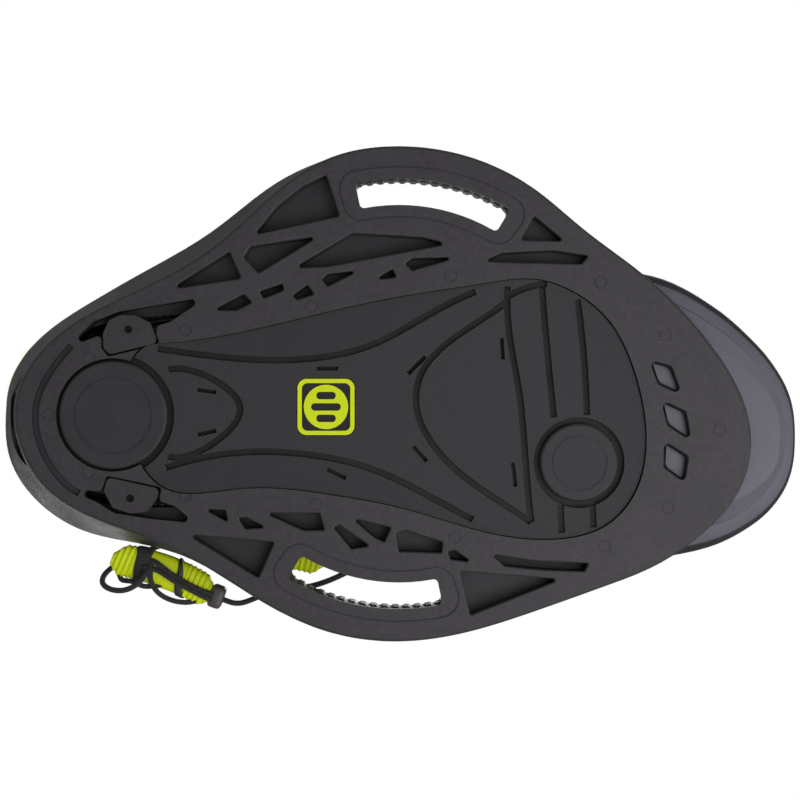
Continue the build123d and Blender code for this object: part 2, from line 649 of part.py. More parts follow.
CORD_D = 2.2
CORDS = {
    "upper_pull_cord": [
        (-80, 63.5, 177), (-81, 63.5, 160), (-84, 63, 138), (-90, 63, 112), (-98, 63.5, 88), (-106.5, 65.5, 67),
        (-113, 68, 50), (-117, 71, 37), (-117, 74, 27), (-112.8, 76, 20), (-106.5, 76.4, 17.2),
        (-101, 73.8, 17.2), (-97.5, 69, 19.5), (-96, 64.8, 23)],
    "slack_cord": [
        (-72.5, 78.7, 25), (-68.3, 81, 26), (-63, 82.6, 27), (-57, 80.6, 28), (-50.5, 77.3, 25.5),
        (-43, 76, 21), (-34, 74.6, 17.5), (-26.5, 72, 16), (-19, 68.5, 17), (-12, 65, 21), (-7, 62.3, 29),
        (-5, 60, 39), (-7, 58, 50), (-11, 56.3, 61), (-14.5, 53.8, 70), (-16, 51.8, 77.6)],
    "lower_pull_cord": [
        (-28, 51.5, 77.6), (-31, 53, 67), (-38, 55, 58), (-47, 56.5, 51.5), (-57, 57.5, 46.5), (-68, 58, 42.5),
        (-78, 58, 36.5), (-80.6, 57.6, 31.1), (-79.3, 57.2, 25.3), (-74.5, 56.8, 21.8), (-69, 56.4, 21.2)],
}


def corner_radii(points):
    """Radius of each arc: 0.45 of the shorter run over the tangent of half the turn."""
    radii = []
    for before, here, after in zip(points, points[1:], points[2:]):
        into, out = Vector(here) - Vector(before), Vector(after) - Vector(here)
        turn = into.get_angle(out)
        radii.append(0.45 * min(into.length, out.length) / tan(radians(turn / 2)))
    return radii


for name, points in CORDS.items():
    radii = corner_radii(points)
    with BuildPart() as cord:
        with BuildLine() as route:
            FilletPolyline(*points, radius=radii)
        with BuildSketch(Plane(route.line @ 0, z_dir=route.line % 0)):
            Circle(CORD_D / 2)
        sweep()
    length = sum(edge.length for edge in route.edges())
    print(name, "radii", [round(r, 1) for r in radii], "length", round(length, 1),
          "volume ratio", round(cord.part.volume / (length * pi * CORD_D ** 2 / 4), 4))
    save(cord.part, name)

# ---- pull loops --------------------------------------------------------------------------------
with BuildPart() as heel_pull_loop:
    with BuildSketch(Plane.XZ.offset(-MID_Y)):
        with BuildLine(mode=Mode.PRIVATE) as path:
            Spline((-138, 184), (-149, 191), (-154.2, 206), (-151.5, 222), (-143, 229))
        trace(path.line, 2.2)
    extrude(amount=10, both=True)
    add(outer_form, mode=Mode.SUBTRACT)
save(heel_pull_loop.part, "heel_pull_loop")

with BuildPart() as tongue_pull_loop:
    with BuildSketch(Plane.YZ.offset(-16.0)):
        with Locations((THROAT_Y, BOOT_H + 6)):
            SlotOverall(30, 20, rotation=90)
            SlotOverall(22, 12, rotation=90, mode=Mode.SUBTRACT)
    extrude(amount=2.0)
    add(tongue.part, mode=Mode.SUBTRACT)
save(tongue_pull_loop.part, "tongue_pull_loop")
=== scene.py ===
"""Wakeboard binding seen from below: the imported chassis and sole, and a boot built on them.

Row frame, metres: +X to the toe, +Y to the medial side, +Z up, board face at z = 0.
"""
from math import cos, exp, pi, radians, sin

import bpy
import numpy as np
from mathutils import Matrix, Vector


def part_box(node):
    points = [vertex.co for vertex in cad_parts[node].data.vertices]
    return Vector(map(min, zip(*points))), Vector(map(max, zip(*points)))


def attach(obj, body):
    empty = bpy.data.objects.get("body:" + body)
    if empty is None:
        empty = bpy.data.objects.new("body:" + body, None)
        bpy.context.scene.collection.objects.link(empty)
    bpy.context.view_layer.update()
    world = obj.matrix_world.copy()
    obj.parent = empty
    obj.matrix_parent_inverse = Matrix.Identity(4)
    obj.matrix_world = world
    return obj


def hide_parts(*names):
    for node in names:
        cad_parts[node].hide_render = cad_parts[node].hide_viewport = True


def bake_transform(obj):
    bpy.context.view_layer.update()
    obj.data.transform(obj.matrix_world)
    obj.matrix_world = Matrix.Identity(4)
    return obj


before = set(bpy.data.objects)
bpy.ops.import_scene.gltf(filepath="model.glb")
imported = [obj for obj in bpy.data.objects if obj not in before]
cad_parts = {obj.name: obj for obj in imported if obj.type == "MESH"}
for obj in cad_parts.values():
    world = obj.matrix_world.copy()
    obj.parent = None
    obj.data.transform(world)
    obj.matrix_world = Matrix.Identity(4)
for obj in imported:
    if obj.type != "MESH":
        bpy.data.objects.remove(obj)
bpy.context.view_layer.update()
MM = 0.001

# ---- camera, light and floor ----
CAMERA_DISTANCE = 0.65      # from the board face
VIEW_WIDTH = 0.3016         # what the frame's width shows at the board face
AIM = (0.00043, 0.00237)    # what the middle of the view looks at
FLOOR_Z = -0.0003           # just clear of the chassis's flat underside
FLOOR_HALF = 60.0


def add_object(name, data):
    obj = bpy.data.objects.new(name, data)
    bpy.context.scene.collection.objects.link(obj)
    return obj


def add_camera():
    data = bpy.data.cameras.new("camera")
    data.sensor_width = 36.0
    data.lens = data.sensor_width * CAMERA_DISTANCE / VIEW_WIDTH
    data.clip_start, data.clip_end = 0.01, 20.0
    camera = add_object("camera", data)
    camera.location = (*AIM, -CAMERA_DISTANCE)
    camera.rotation_euler = (pi, 0.0, 0.0)
    bpy.context.scene.camera = camera


def area_light(name, place, target, size, power, tint=(1, 1, 1)):
    data = bpy.data.lights.new(name, "AREA")
    data.shape = "RECTANGLE"
    data.size, data.size_y = size
    data.energy = power
    data.color = tint
    light = add_object(name, data)
    light.location = place
    way = Vector(target) - Vector(place)
    light.rotation_euler = way.to_track_quat("-Z", "Y").to_euler()


def blend_shaders(tree, factor, first, second, output):
    """End a node tree in a blend of two shaders."""
    mix = tree.nodes.new("ShaderNodeMixShader")
    for socket, source in zip(mix.inputs, (factor, first.outputs[0], second.outputs[0])):
        tree.links.new(source, socket)
    tree.links.new(mix.outputs[0], tree.nodes.new(output).inputs["Surface"])


def add_world():
    """Even light from all round, and plain white where the camera sees past the object."""
    world = bpy.data.worlds.new("studio")
    world.use_nodes = True
    tree = world.node_tree
    tree.nodes.clear()
    path = tree.nodes.new("ShaderNodeLightPath")
    lit, seen = tree.nodes.new("ShaderNodeBackground"), tree.nodes.new("ShaderNodeBackground")
    lit.inputs["Color"].default_value = (0.96, 0.97, 1.0, 1)
    lit.inputs["Strength"].default_value = 0.36
    seen.inputs["Color"].default_value = (1, 1, 1, 1)
    seen.inputs["Strength"].default_value = 1.0
    blend_shaders(tree, path.outputs["Is Camera Ray"], lit, seen, "ShaderNodeOutputWorld")
    bpy.context.scene.world = world


def add_floor():
    """A pale floor at the board face. Its underside is clear, so that a view from below passes through it."""
    mesh = bpy.data.meshes.new("floor")
    corners = [(x * FLOOR_HALF, y * FLOOR_HALF, FLOOR_Z) for x, y in ((-1, -1), (1, -1), (1, 1), (-1, 1))]
    mesh.from_pydata(corners, [], [(0, 1, 2, 3)])
    floor = add_object("floor", mesh)
    material = bpy.data.materials.new("floor_pale")
    material.use_nodes = True
    tree = material.node_tree
    tree.nodes.clear()
    geometry = tree.nodes.new("ShaderNodeNewGeometry")
    clear = tree.nodes.new("ShaderNodeBsdfTransparent")
    top = tree.nodes.new("ShaderNodeBsdfPrincipled")
    top.inputs["Base Color"].default_value = (0.82, 0.82, 0.83, 1)
    top.inputs["Roughness"].default_value = 0.7
    top.inputs["Emission Color"].default_value = (1, 1, 1, 1)
    top.inputs["Emission Strength"].default_value = 0.72
    blend_shaders(tree, geometry.outputs["Backfacing"], top, clear, "ShaderNodeOutputMaterial")
    mesh.materials.append(material)
    for ray in ("diffuse", "glossy", "transmission", "shadow"):
        setattr(floor, f"visible_{ray}", False)


def set_the_stage():
    bpy.context.scene.view_settings.view_transform = "Standard"
    add_camera()
    add_world()
    add_floor()
    area_light("from_below", (0.3, 0.2, -0.75), (0.03, 0.01, 0), (0.7, 0.5), 3.2, (1.0, 0.955, 0.99))
    area_light("toe_side", (0.65, 0.25, -0.45), (0.05, 0, 0.02), (0.35, 0.5), 1.6)
    area_light("key_above", (0.3, -0.35, 1.2), (0, 0, 0.1), (0.6, 0.6), 9.0)
    area_light("fill_above", (-0.35, 0.35, 1.1), (0, 0, 0.1), (0.7, 0.6), 4.0)


# ---- the object's own places, in mm ----
SIDES = ((1, "medial"), (-1, "lateral"))
MID_Y = 7.0             # the shaft's middle plane
THROAT_Y = 6.0          # middle line of the throat
THROAT_HALF = 20.5      # half width of the throat
THROAT_START = 7.25     # station where the throat opens
LOCKS = {"lower": (-22.0, 55.0, 86.0), "upper": (-80.0, 66.0, 186.0)}
HANDLES = {"rear_lace_handle": ((-92.5, 71.5, 25.0), 20.0), "front_lace_handle": ((-49.5, 59.0, 21.0), 8.0)}
HANDLE_HALF = 21.0      # half length of a pull handle
CORD_D = 2.2
UP = np.array((0.0, 0.0, 1.0))
CORDS = {
    "upper_pull_cord": [
        (-80, 63.5, 177), (-81, 63.5, 160), (-84, 63, 138), (-90, 63, 112), (-98, 63.5, 88),
        (-106.5, 65.5, 67), (-113, 68, 50), (-117, 71, 37), (-117, 74, 27), (-112.8, 76, 20),
        (-106.5, 76.4, 17.2), (-101, 73.8, 17.2), (-97.5, 69, 19.5), (-96, 64.8, 23)],
    "slack_cord": [
        (-72.5, 78.7, 25), (-68.3, 81, 26), (-63, 82.6, 27), (-57, 80.6, 28), (-50.5, 77.3, 25.5),
        (-43, 76, 21), (-34, 74.6, 17.5), (-26.5, 72, 16), (-19, 68.5, 17), (-12, 65, 21), (-7, 62.3, 29),
        (-5, 60, 39), (-7, 58, 50), (-11, 56.3, 61), (-14.5, 53.8, 70), (-16, 51.8, 77.6)],
    "lower_pull_cord": [
        (-28, 51.5, 77.6), (-31, 53, 67), (-38, 55, 58), (-47, 56.5, 51.5), (-57, 57.5, 46.5),
        (-68, 58, 42.5), (-78, 58, 36.5), (-80.6, 57.6, 31.1), (-79.3, 57.2, 25.3), (-74.5, 56.8, 21.8),
        (-69, 56.4, 21.2)],
}
TOE_WINDOWS = [
    [(94.3, -13), (103, -10.5), (107.3, 1), (97.5, -3.5)],
    [(98.7, 2), (108.5, 6.5), (110.7, 18.5), (101, 12)],
    [(100, 17.5), (109.5, 23.5), (108, 34), (99.7, 28)]]

# ---- materials; colours are linear ----
FOAM = (0.0215, 0.019, 0.022)
# near black: the badge's own black fill, and painted shade deep in the frame's pockets
BLACK_FILL_AND_PAINTED_SHADE = (0.012, 0.0115, 0.0125)
PALE = (0.05, 0.05, 0.053)
TOE_GREY = (0.105, 0.104, 0.127)
LIME = (0.66, 0.80, 0.002)
LIME_LIGHT = (0.72, 0.86, 0.005)


class Shader:
    """Small helper that builds one node material."""

    def __init__(self, name, colour, roughness, specular):
        self.material = bpy.data.materials.new(name)
        self.material.use_nodes = True
        self.nodes = self.material.node_tree.nodes
        self.links = self.material.node_tree.links
        self.surface = self.nodes["Principled BSDF"]
        self.surface.inputs["Roughness"].default_value = roughness
        self.surface.inputs["Specular IOR Level"].default_value = specular
        self.surface.inputs["Base Color"].default_value = (*colour, 1)
        self.place = self.nodes.new("ShaderNodeTexCoord").outputs["Object"]
        self.colour = colour
        self.colour_out = None
        self.bump_out = None

    def node(self, kind, values, socket, source):
        """A new node with constants on some of its inputs and a link into another."""
        node = self.nodes.new(kind)
        for name, value in values.items():
            node.inputs[name].default_value = value
        self.links.new(source, node.inputs[socket])
        return node

    def noise(self, scale, detail, rough=0.55):
        values = {"Scale": scale, "Detail": detail, "Roughness": rough}
        return self.node("ShaderNodeTexNoise", values, "Vector", self.place).outputs["Fac"]

    def ramp(self, value, low, high, start=0.0, end=1.0):
        values = {"From Min": low, "From Max": high, "To Min": start, "To Max": end}
        return self.node("ShaderNodeMapRange", values, "Value", value).outputs["Result"]

    def maths(self, operation, first, second=None):
        node = self.nodes.new("ShaderNodeMath")
        node.operation = operation
        for socket, value in zip(node.inputs, (first, second)):
            if isinstance(value, (int, float)):
                socket.default_value = value
            elif value is not None:
                self.links.new(value, socket)
        return node.outputs[0]

    def times(self, first, second):
        return self.maths("MULTIPLY", first, second)

    def wave(self, place, spacing):
        """A sine along a place value, one turn for each spacing."""
        return self.maths("SINE", self.times(place, 2 * pi / spacing))

    def axes(self):
        return self.node("ShaderNodeSeparateXYZ", {}, 0, self.place).outputs

    def tint(self, mask, colour):
        """Blend the base colour towards another where the mask is high."""
        node = self.nodes.new("ShaderNodeMix")
        node.data_type = "RGBA"
        inputs = {s.identifier: s for s in node.inputs}
        outputs = {s.identifier: s for s in node.outputs}
        self.links.new(mask, inputs["Factor_Float"])
        inputs["A_Color"].default_value = (*self.colour, 1)
        inputs["B_Color"].default_value = (*colour, 1)
        if self.colour_out is not None:
            self.links.new(self.colour_out, inputs["A_Color"])
        self.colour_out = outputs["Result_Color"]
        self.links.new(self.colour_out, self.surface.inputs["Base Color"])

    def rough(self, value):
        self.links.new(value, self.surface.inputs["Roughness"])

    def bump(self, height, distance):
        node = self.node("ShaderNodeBump", {"Strength": 1.0, "Distance": distance}, "Height", height)
        if self.bump_out is not None:
            self.links.new(self.bump_out, node.inputs["Normal"])
        self.bump_out = node.outputs["Normal"]
        self.links.new(self.bump_out, self.surface.inputs["Normal"])


def moulded(name, colour, roughness, grain=1.0, light=PALE, specular=0.5):
    """Moulded plastic: fine grain, faint cloudy colour and small pale flecks."""
    shader = Shader(name, colour, roughness, specular)
    fine = shader.noise(2600.0, 2.0)
    cloudy = shader.noise(60.0, 5.0)
    flecks = shader.ramp(shader.noise(1500.0, 1.0), 0.66, 0.78)
    shader.tint(shader.ramp(cloudy, 0.35, 0.75, 0.0, 0.4), light)
    shader.tint(shader.times(flecks, 0.22), [c * 1.6 for c in light])
    shader.rough(shader.ramp(cloudy, 0.3, 0.7, roughness - 0.07, roughness + 0.07))
    shader.bump(fine, 0.00008 * grain)
    return shader


def frame_nylon():
    """Glass-filled nylon: fine grain, scuffed pale at the board face, and painted shade darkening it deep in
    its pockets.
    """
    shader = moulded("frame_nylon", (0.027, 0.0236, 0.0275), 0.54, specular=0.4)
    _, _, height = shader.axes()
    grain = shader.noise(420.0, 6.0, 0.72)
    shader.tint(shader.ramp(grain, 0.5, 0.72, 0.0, 0.4), (0.05, 0.045, 0.05))
    # painted shade: darker the further from the board face, towards the pocket floors
    shader.tint(shader.ramp(height, 0.001, 0.0085, 0.0, 0.45), BLACK_FILL_AND_PAINTED_SHADE)
    edge = shader.times(shader.ramp(height, 0.0011, 0.0001), shader.ramp(grain, 0.4, 0.6))
    shader.tint(shader.times(edge, 0.25), (0.06, 0.055, 0.058))
    shader.bump(grain, 0.0001)
    return shader.material


def sole_foam():
    """Moulded foam sole: fine slanting ribs along its waisted middle, smooth panels at both sides, painted
    shade in its grooves and deeper recesses, and grey on its upper face at the toe."""
    rib_spacing, slant, groove_top, sole_top = 0.0009, radians(52), 0.0013, 0.0039
    shader = moulded("sole_foam", FOAM, 0.62, 1.6, specular=0.4)
    x, y, height = shader.axes()
    ahead = shader.maths("ADD", x, 0.048)
    waist = shader.maths("ADD", shader.times(shader.times(ahead, ahead), 4.3), 0.0175)
    away = shader.maths("ABSOLUTE", shader.maths("SUBTRACT", y, 0.0045))
    on_face = shader.maths("LESS_THAN", height, groove_top)
    ribbed = shader.times(shader.maths("LESS_THAN", away, waist), on_face)
    along = shader.maths("ADD", shader.times(x, cos(slant)), shader.times(y, sin(slant)))
    ribs = shader.times(shader.ramp(shader.wave(along, rib_spacing), -1.0, 1.0), ribbed)
    shader.tint(shader.times(ribs, 0.4), (0.04, 0.0365, 0.0405))
    shader.tint(shader.maths("SUBTRACT", 0.35, shader.times(ribbed, 0.35)), (0.0185, 0.0165, 0.019))
    # painted shade: near black from the groove tops inward, in grooves, slits and pad recesses
    shader.tint(shader.ramp(height, groove_top, 0.0024, 0.0, 0.95), (0.0035, 0.0033, 0.004))
    toe = shader.times(shader.maths("GREATER_THAN", height, sole_top), shader.maths("GREATER_THAN", x, 0.08))
    shader.tint(toe, TOE_GREY)
    shader.bump(ribs, 0.0001)
    return shader.material


def badge_plastic():
    """Lime plastic with its sunk areas filled in black."""
    shader = moulded("badge_lime", LIME, 0.5, 0.6, LIME_LIGHT, 0.3)
    _, _, height = shader.axes()
    shader.tint(shader.maths("GREATER_THAN", height, 0.00105), BLACK_FILL_AND_PAINTED_SHADE)
    return shader.material


def woven(name, colour, light, spacing, roughness, depth=0.00012, angle=0.0):
    """Woven cloth or webbing: two crossing sets of threads and a soft sheen."""
    shader = Shader(name, colour, roughness, 0.3)
    x, y, z = shader.axes()
    over = shader.wave(shader.maths("ADD", shader.times(x, cos(angle)), shader.times(y, 0.8)), spacing)
    under = shader.wave(shader.maths("SUBTRACT", z, shader.times(x, sin(angle) + 0.3)), spacing)
    weave = shader.ramp(shader.times(over, under), -1.0, 1.0)
    shader.tint(shader.times(weave, 0.6), light)
    shader.tint(shader.ramp(shader.noise(55.0, 5.0), 0.42, 0.75, 0.0, 0.35), light)
    shader.surface.inputs["Sheen Weight"].default_value = 0.12
    shader.surface.inputs["Sheen Roughness"].default_value = 0.5
    shader.bump(weave, depth)
    shader.bump(shader.noise(900.0, 3.0), 0.00006)
    return shader.material


def grained(name, colour, light, scale, roughness, depth=0.00018):
    """Coated synthetic with a pebbled grain."""
    shader = Shader(name, colour, roughness, 0.45)
    cells = shader.node("ShaderNodeTexVoronoi", {"Scale": scale}, "Vector", shader.place)
    pebble = shader.ramp(cells.outputs["Distance"], 0.0, 0.7)
    shader.tint(shader.times(pebble, 0.45), light)
    cloudy = shader.noise(35.0, 5.0)
    shader.tint(shader.ramp(cloudy, 0.42, 0.72, 0.0, 0.3), light)
    shader.rough(shader.ramp(cloudy, 0.3, 0.7, roughness - 0.06, roughness + 0.08))
    shader.bump(pebble, depth)
    return shader.material


def add_materials():
    """Every material by the short word the pieces use."""
    made = {"frame": frame_nylon(), "foam": sole_foam(), "badge": badge_plastic()}
    for word, *look in (
            ("pad", "disc_foam", FOAM, 0.58, 1.4, PALE, 0.4),
            ("lime", "lime_plastic", LIME, 0.5, 0.6, LIME_LIGHT, 0.3),
            ("toe", "toe_rubber", TOE_GREY, 0.55, 1.4, (0.15, 0.15, 0.17)),
            ("rand", "rand_rubber", (0.016, 0.016, 0.018), 0.62, 0.3, PALE, 0.3),
            ("gloss", "gloss_shell", (0.008, 0.008, 0.009), 0.2, 0.3, (0.014, 0.014, 0.015)),
            ("guide", "guide_nylon", (0.014, 0.014, 0.0155), 0.4),
            ("footbed", "footbed_foam", (0.05, 0.05, 0.055), 0.8, 2.5, (0.08, 0.08, 0.085)),
            ("board", "board_fibre", (0.09, 0.075, 0.055), 0.8, 2.5, (0.12, 0.1, 0.08)),
            # dark steel for the screws; the toe windows' edges use its near black as painted shade
            ("steel", "dark_steel", (0.003, 0.003, 0.003), 0.6, 0.4, (0.005, 0.005, 0.005), 0.2),
            ("buckle", "buckle_nylon", (0.06, 0.052, 0.05), 0.4, 0.8, (0.09, 0.08, 0.078))):
        made[word] = moulded(*look).material
    for word, *look in (
            ("upper", "upper_synthetic", (0.016, 0.016, 0.018), (0.034, 0.034, 0.037), 1500.0, 0.52),
            ("overlay", "eyestay_tpu", (0.010, 0.010, 0.0115), (0.022, 0.022, 0.024), 900.0, 0.36, 0.0001)):
        made[word] = grained(*look)
    for word, *look in (
            ("cloth", "liner_cloth", (0.02, 0.02, 0.022), (0.055, 0.055, 0.058), 0.0017, 0.85),
            ("collar", "collar_cloth", (0.016, 0.016, 0.018), (0.045, 0.045, 0.048), 0.0022, 0.88),
            ("tongue", "tongue_synthetic", (0.017, 0.017, 0.019), (0.05, 0.05, 0.054), 0.0014, 0.7),
            ("webbing", "webbing", (0.014, 0.014, 0.015), (0.05, 0.05, 0.052), 0.0011, 0.8, 0.0002, 0.6),
            ("lace", "lace_cord", (0.012, 0.0115, 0.0115), (0.055, 0.053, 0.052), 0.0012, 0.75, 0.00022, 0.7),
            ("thread", "thread", (0.05, 0.05, 0.053), (0.1, 0.1, 0.105), 0.0006, 0.7, 0.00005)):
        made[word] = woven(*look)
    return made


# ---- the boot's surface ----
# Each station is one ring round the boot, the first one the tip of the toe at u = -1. It holds the ring's
# lowest or rearmost point and its highest or foremost point (x and z), its middle y, its half width, the
# powers that square its lower and upper half, and how far up it is widest.
STATIONS = [
    ((151.7, 18.2), (151.7, 18.7), 16.5, 0.4, 2.2, 2.2, 0.50),
    ((151.3, 17.0), (151.0, 20.0), 16.5, 4.0, 2.2, 2.2, 0.50),
    ((149.3, 9.0), (148.8, 33.0), 16.5, 15.5, 2.4, 2.2, 0.45),
    ((144.4, 5.2), (144.0, 43.5), 16.2, 24.7, 2.8, 2.2, 0.38),
    ((135.8, 4.3), (135.0, 52.0), 15.0, 34.2, 3.4, 2.2, 0.34),
    ((121.0, 4.2), (120.0, 61.0), 12.5, 44.8, 4.0, 2.2, 0.32),
    ((101.0, 4.2), (100.0, 71.5), 9.3, 52.6, 4.5, 2.15, 0.30),
    ((77.0, 4.2), (76.0, 82.0), 8.6, 56.0, 4.8, 2.1, 0.30),
    ((51.0, 4.2), (50.0, 93.0), 7.2, 56.0, 4.8, 2.1, 0.29),
    ((23.0, 4.2), (27.0, 105.0), 5.8, 52.6, 4.8, 2.1, 0.28),
    ((-8.0, 4.2), (9.0, 115.0), 4.6, 47.6, 4.6, 2.1, 0.27),
    ((-42.0, 4.2), (-2.0, 123.0), 4.6, 42.8, 4.4, 2.1, 0.26),
    ((-76.0, 4.2), (-8.0, 130.0), 5.6, 40.2, 4.2, 2.1, 0.26),
    ((-107.0, 4.4), (-12.0, 137.0), 6.8, 38.9, 3.6, 2.1, 0.28),
    ((-132.0, 7.5), (-14.5, 144.0), 7.2, 38.2, 2.8, 2.1, 0.34),
    ((-145.0, 22.0), (-15.8, 151.0), 7.2, 38.4, 2.4, 2.1, 0.38),
    ((-148.0, 48.0), (-16.6, 158.0), 7.0, 39.4, 2.2, 2.1, 0.42),
    ((-145.5, 76.0), (-17.2, 166.0), 7.0, 40.6, 2.15, 2.1, 0.45),
    ((-140.5, 106.0), (-17.8, 175.0), 7.0, 42.6, 2.1, 2.1, 0.48),
    ((-138.0, 138.0), (-18.2, 186.0), 7.0, 45.4, 2.1, 2.1, 0.5),
    ((-140.0, 170.0), (-18.6, 200.0), 7.0, 48.2, 2.1, 2.1, 0.5),
    ((-143.5, 204.0), (-18.9, 217.0), 7.0, 50.4, 2.1, 2.1, 0.5),
    ((-147.0, 236.0), (-19.0, 236.0), 7.0, 52.0, 2.1, 2.1, 0.5),
    ((-150.0, 264.0), (-18.5, 256.0), 7.0, 53.0, 2.1, 2.1, 0.5)]
TABLE = np.array([[*low, *high, *rest] for low, high, *rest in STATIONS])
TOP = len(STATIONS) - 3.0       # the ring at the shell's top edge
HALVINGS = 40                   # how often a search by halving is repeated
STITCH_SPACING = 2.8            # the stitches' sizes, in mm
STITCH_LENGTH = 2.2
STITCH_RADIUS = 0.24
span = np.linspace


def cubic(a, b, c, d, t):
    """Smooth curve from b to c, with a before them and d after them."""
    return 0.5 * (2 * b + (c - a) * t + (2 * a - 5 * b + 4 * c - d) * t ** 2
                  + (3 * b - a - 3 * c + d) * t ** 3)


def station(u):
    """All station values at any place along the boot, by a smooth cubic through the stations."""
    u = np.clip(np.asarray(u, float) + 1, 0, len(TABLE) - 1)
    base = np.clip(np.floor(u).astype(int), 0, len(TABLE) - 2)
    before, after = np.clip(base - 1, 0, None), np.clip(base + 2, None, len(TABLE) - 1)
    return cubic(TABLE[before], TABLE[base], TABLE[base + 1], TABLE[after], (u - base)[..., None])


def surface(u, v):
    """Point on the boot, in metres: v is 0 on the front line and pi underneath or behind, medial positive."""
    u, v = np.broadcast_arrays(np.asarray(u, float), np.asarray(v, float))
    bx, bz, fx, fz, middle, width, square_low, square_high, widest = np.moveaxis(station(u), -1, 0)
    up = np.cos(v)
    power = np.where(up < 0, square_low, square_high)
    across = np.sign(np.sin(v)) * np.abs(np.sin(v)) ** (2 / power)
    rise = np.abs(up) ** (2 / power)
    share = np.where(up < 0, widest * (1 - rise), widest + (1 - widest) * rise)
    return np.stack([bx + (fx - bx) * share, middle + width * across, bz + (fz - bz) * share], -1) * MM


def steps(u, v, step):
    """How far the surface moves over a small step both ways in u, and in v."""
    return surface(u + step, v) - surface(u - step, v), surface(u, v + step) - surface(u, v - step)


def normals(u, v):
    """Outward unit normals by small steps over the surface."""
    along, around = steps(u, np.asarray(v, float), 0.02)
    cross = np.cross(around, along)
    length = np.linalg.norm(cross, axis=-1, keepdims=True)
    return cross / np.maximum(length, 1e-12)


def on_boot(u, v, lift):
    """Points a lift in millimetres above the boot's surface."""
    u, v = np.broadcast_arrays(np.asarray(u, float), np.asarray(v, float))
    return surface(u, v) + normals(u, v) * np.asarray(lift)[..., None] * MM


def add_mesh(name, vertices, faces, material, body="boot", rounding=0, corner=30):
    """A smooth mesh that rides a body; edges sharper than the corner angle are rounded by so many mm."""
    mesh = bpy.data.meshes.new(name)
    mesh.from_pydata([tuple(p) for p in vertices], [], faces)
    mesh.materials.append(MATERIALS[material])
    mesh.validate()
    mesh.update()
    mesh.polygons.foreach_set("use_smooth", [True] * len(mesh.polygons))
    obj = add_object(name, mesh)
    if rounding:
        bevel = obj.modifiers.new("edge", "BEVEL")
        bevel.width = rounding * MM
        bevel.segments = 2
        bevel.limit_method = "ANGLE"
        bevel.angle_limit = radians(corner)
    if body:
        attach(obj, body)
    return obj


def grid_faces(rows, columns, offset=0, around=False, flip=False):
    """Faces of a grid of vertices, its last column joined to its first where it goes around."""
    faces = []
    for i in range(rows - 1):
        for j in range(columns if around else columns - 1):
            k = (j + 1) % columns
            face = (offset + i * columns + j, offset + i * columns + k,
                    offset + (i + 1) * columns + k, offset + (i + 1) * columns + j)
            faces.append(face[::-1] if flip else face)
    return faces


def rod_faces(rows, columns, offset=0, flip=False):
    """Faces of a closed rod: rings of vertices and a cap on both ends."""
    first = tuple(offset + k for k in range(columns))
    last = tuple(offset + (rows - 1) * columns + k for k in range(columns))
    caps = [first, last[::-1]] if flip else [first[::-1], last]
    return grid_faces(rows, columns, offset, True, flip) + caps


def hoop_faces(rows, columns, flip=False):
    """Faces of a closed hoop: rings of vertices, the last ring joined to the first."""
    faces = []
    for i in range(rows):
        below, above = i * columns, (i + 1) % rows * columns
        for j in range(columns):
            k = (j + 1) % columns
            a, b, c, d = below + j, below + k, above + k, above + j
            faces.append((a, d, c, b) if flip else (a, b, c, d))
    return faces


def panel(name, material, u, v, lift, thick, body="boot", around=False, rounding=0.6):
    """A closed shell over the boot: u and v are grids, lift its outer face, thick its thickness in mm."""
    rows, columns = u.shape
    lift = np.broadcast_to(np.asarray(lift, float), u.shape)
    layers = [on_boot(u, v, height).reshape(-1, 3) for height in (lift, lift - thick)]
    count = rows * columns
    faces = grid_faces(rows, columns, 0, around) + grid_faces(rows, columns, count, around, flip=True)
    last = (rows - 1) * columns
    for row in (0, last):
        for j in range(columns if around else columns - 1):
            a, b = row + j, row + (j + 1) % columns
            faces.append((b, a, a + count, b + count) if row == 0 else (a, b, b + count, a + count))
    if not around:
        for a in range(0, last, columns):
            b = a + columns
            faces.append((a, b, b + count, a + count))
            a, b = a + columns - 1, b + columns - 1
            faces.append((b, a, a + count, b + count))
    return add_mesh(name, np.concatenate(layers), faces, material, body, rounding, 50)


def mesh_between(u_line, v_first, v_last, columns):
    """Grids of u and v: each row keeps its u and runs between two v limits."""
    share = span(0, 1, columns)[None, :]
    u = np.repeat(np.asarray(u_line)[:, None], columns, 1)
    v = np.asarray(v_first)[:, None] * (1 - share) + np.asarray(v_last)[:, None] * share
    return u, v


def smooth_path(points, count):
    """Smooth curve through the points, at even steps of its parameter."""
    p = np.array([points[0], *points, points[-1]], float)
    t = span(0, len(points) - 1, count)
    i = np.clip(t.astype(int), 0, len(points) - 2)
    return cubic(p[i], p[i + 1], p[i + 2], p[i + 3], (t - i)[:, None])


def path_on_boot(path, count):
    """u and v along a path of (u, v in degrees), and the step in u and v that is one metre to its side."""
    line = smooth_path([(u, radians(v)) for u, v in path], count)
    u, v = line[:, 0], line[:, 1]
    step = 0.01
    along, around = (np.maximum(np.linalg.norm(move, axis=-1) / (2 * step), 1e-5)
                     for move in steps(u, v, step))
    du, dv = np.gradient(u) * along, np.gradient(v) * around
    size = np.maximum(np.hypot(du, dv), 1e-9)
    return u, v, -dv / size / along, du / size / around


def strap(name, material, path, width, lift, thick, crown, count=90):
    """A band along a path over the boot; width is in mm, one or several, and crown swells its middle."""
    u, v, side_u, side_v = path_on_boot(path, count)
    several = width if np.ndim(width) else [width, width]
    widths = smooth_path([(w,) for w in several], count)[:, 0]
    share = span(-1, 1, 11)[None, :]
    reach = share * widths[:, None] / 2 * MM
    grid_u, grid_v = u[:, None] + side_u[:, None] * reach, v[:, None] + side_v[:, None] * reach
    return panel(name, material, grid_u, grid_v, lift + crown * (1 - share ** 4), thick)


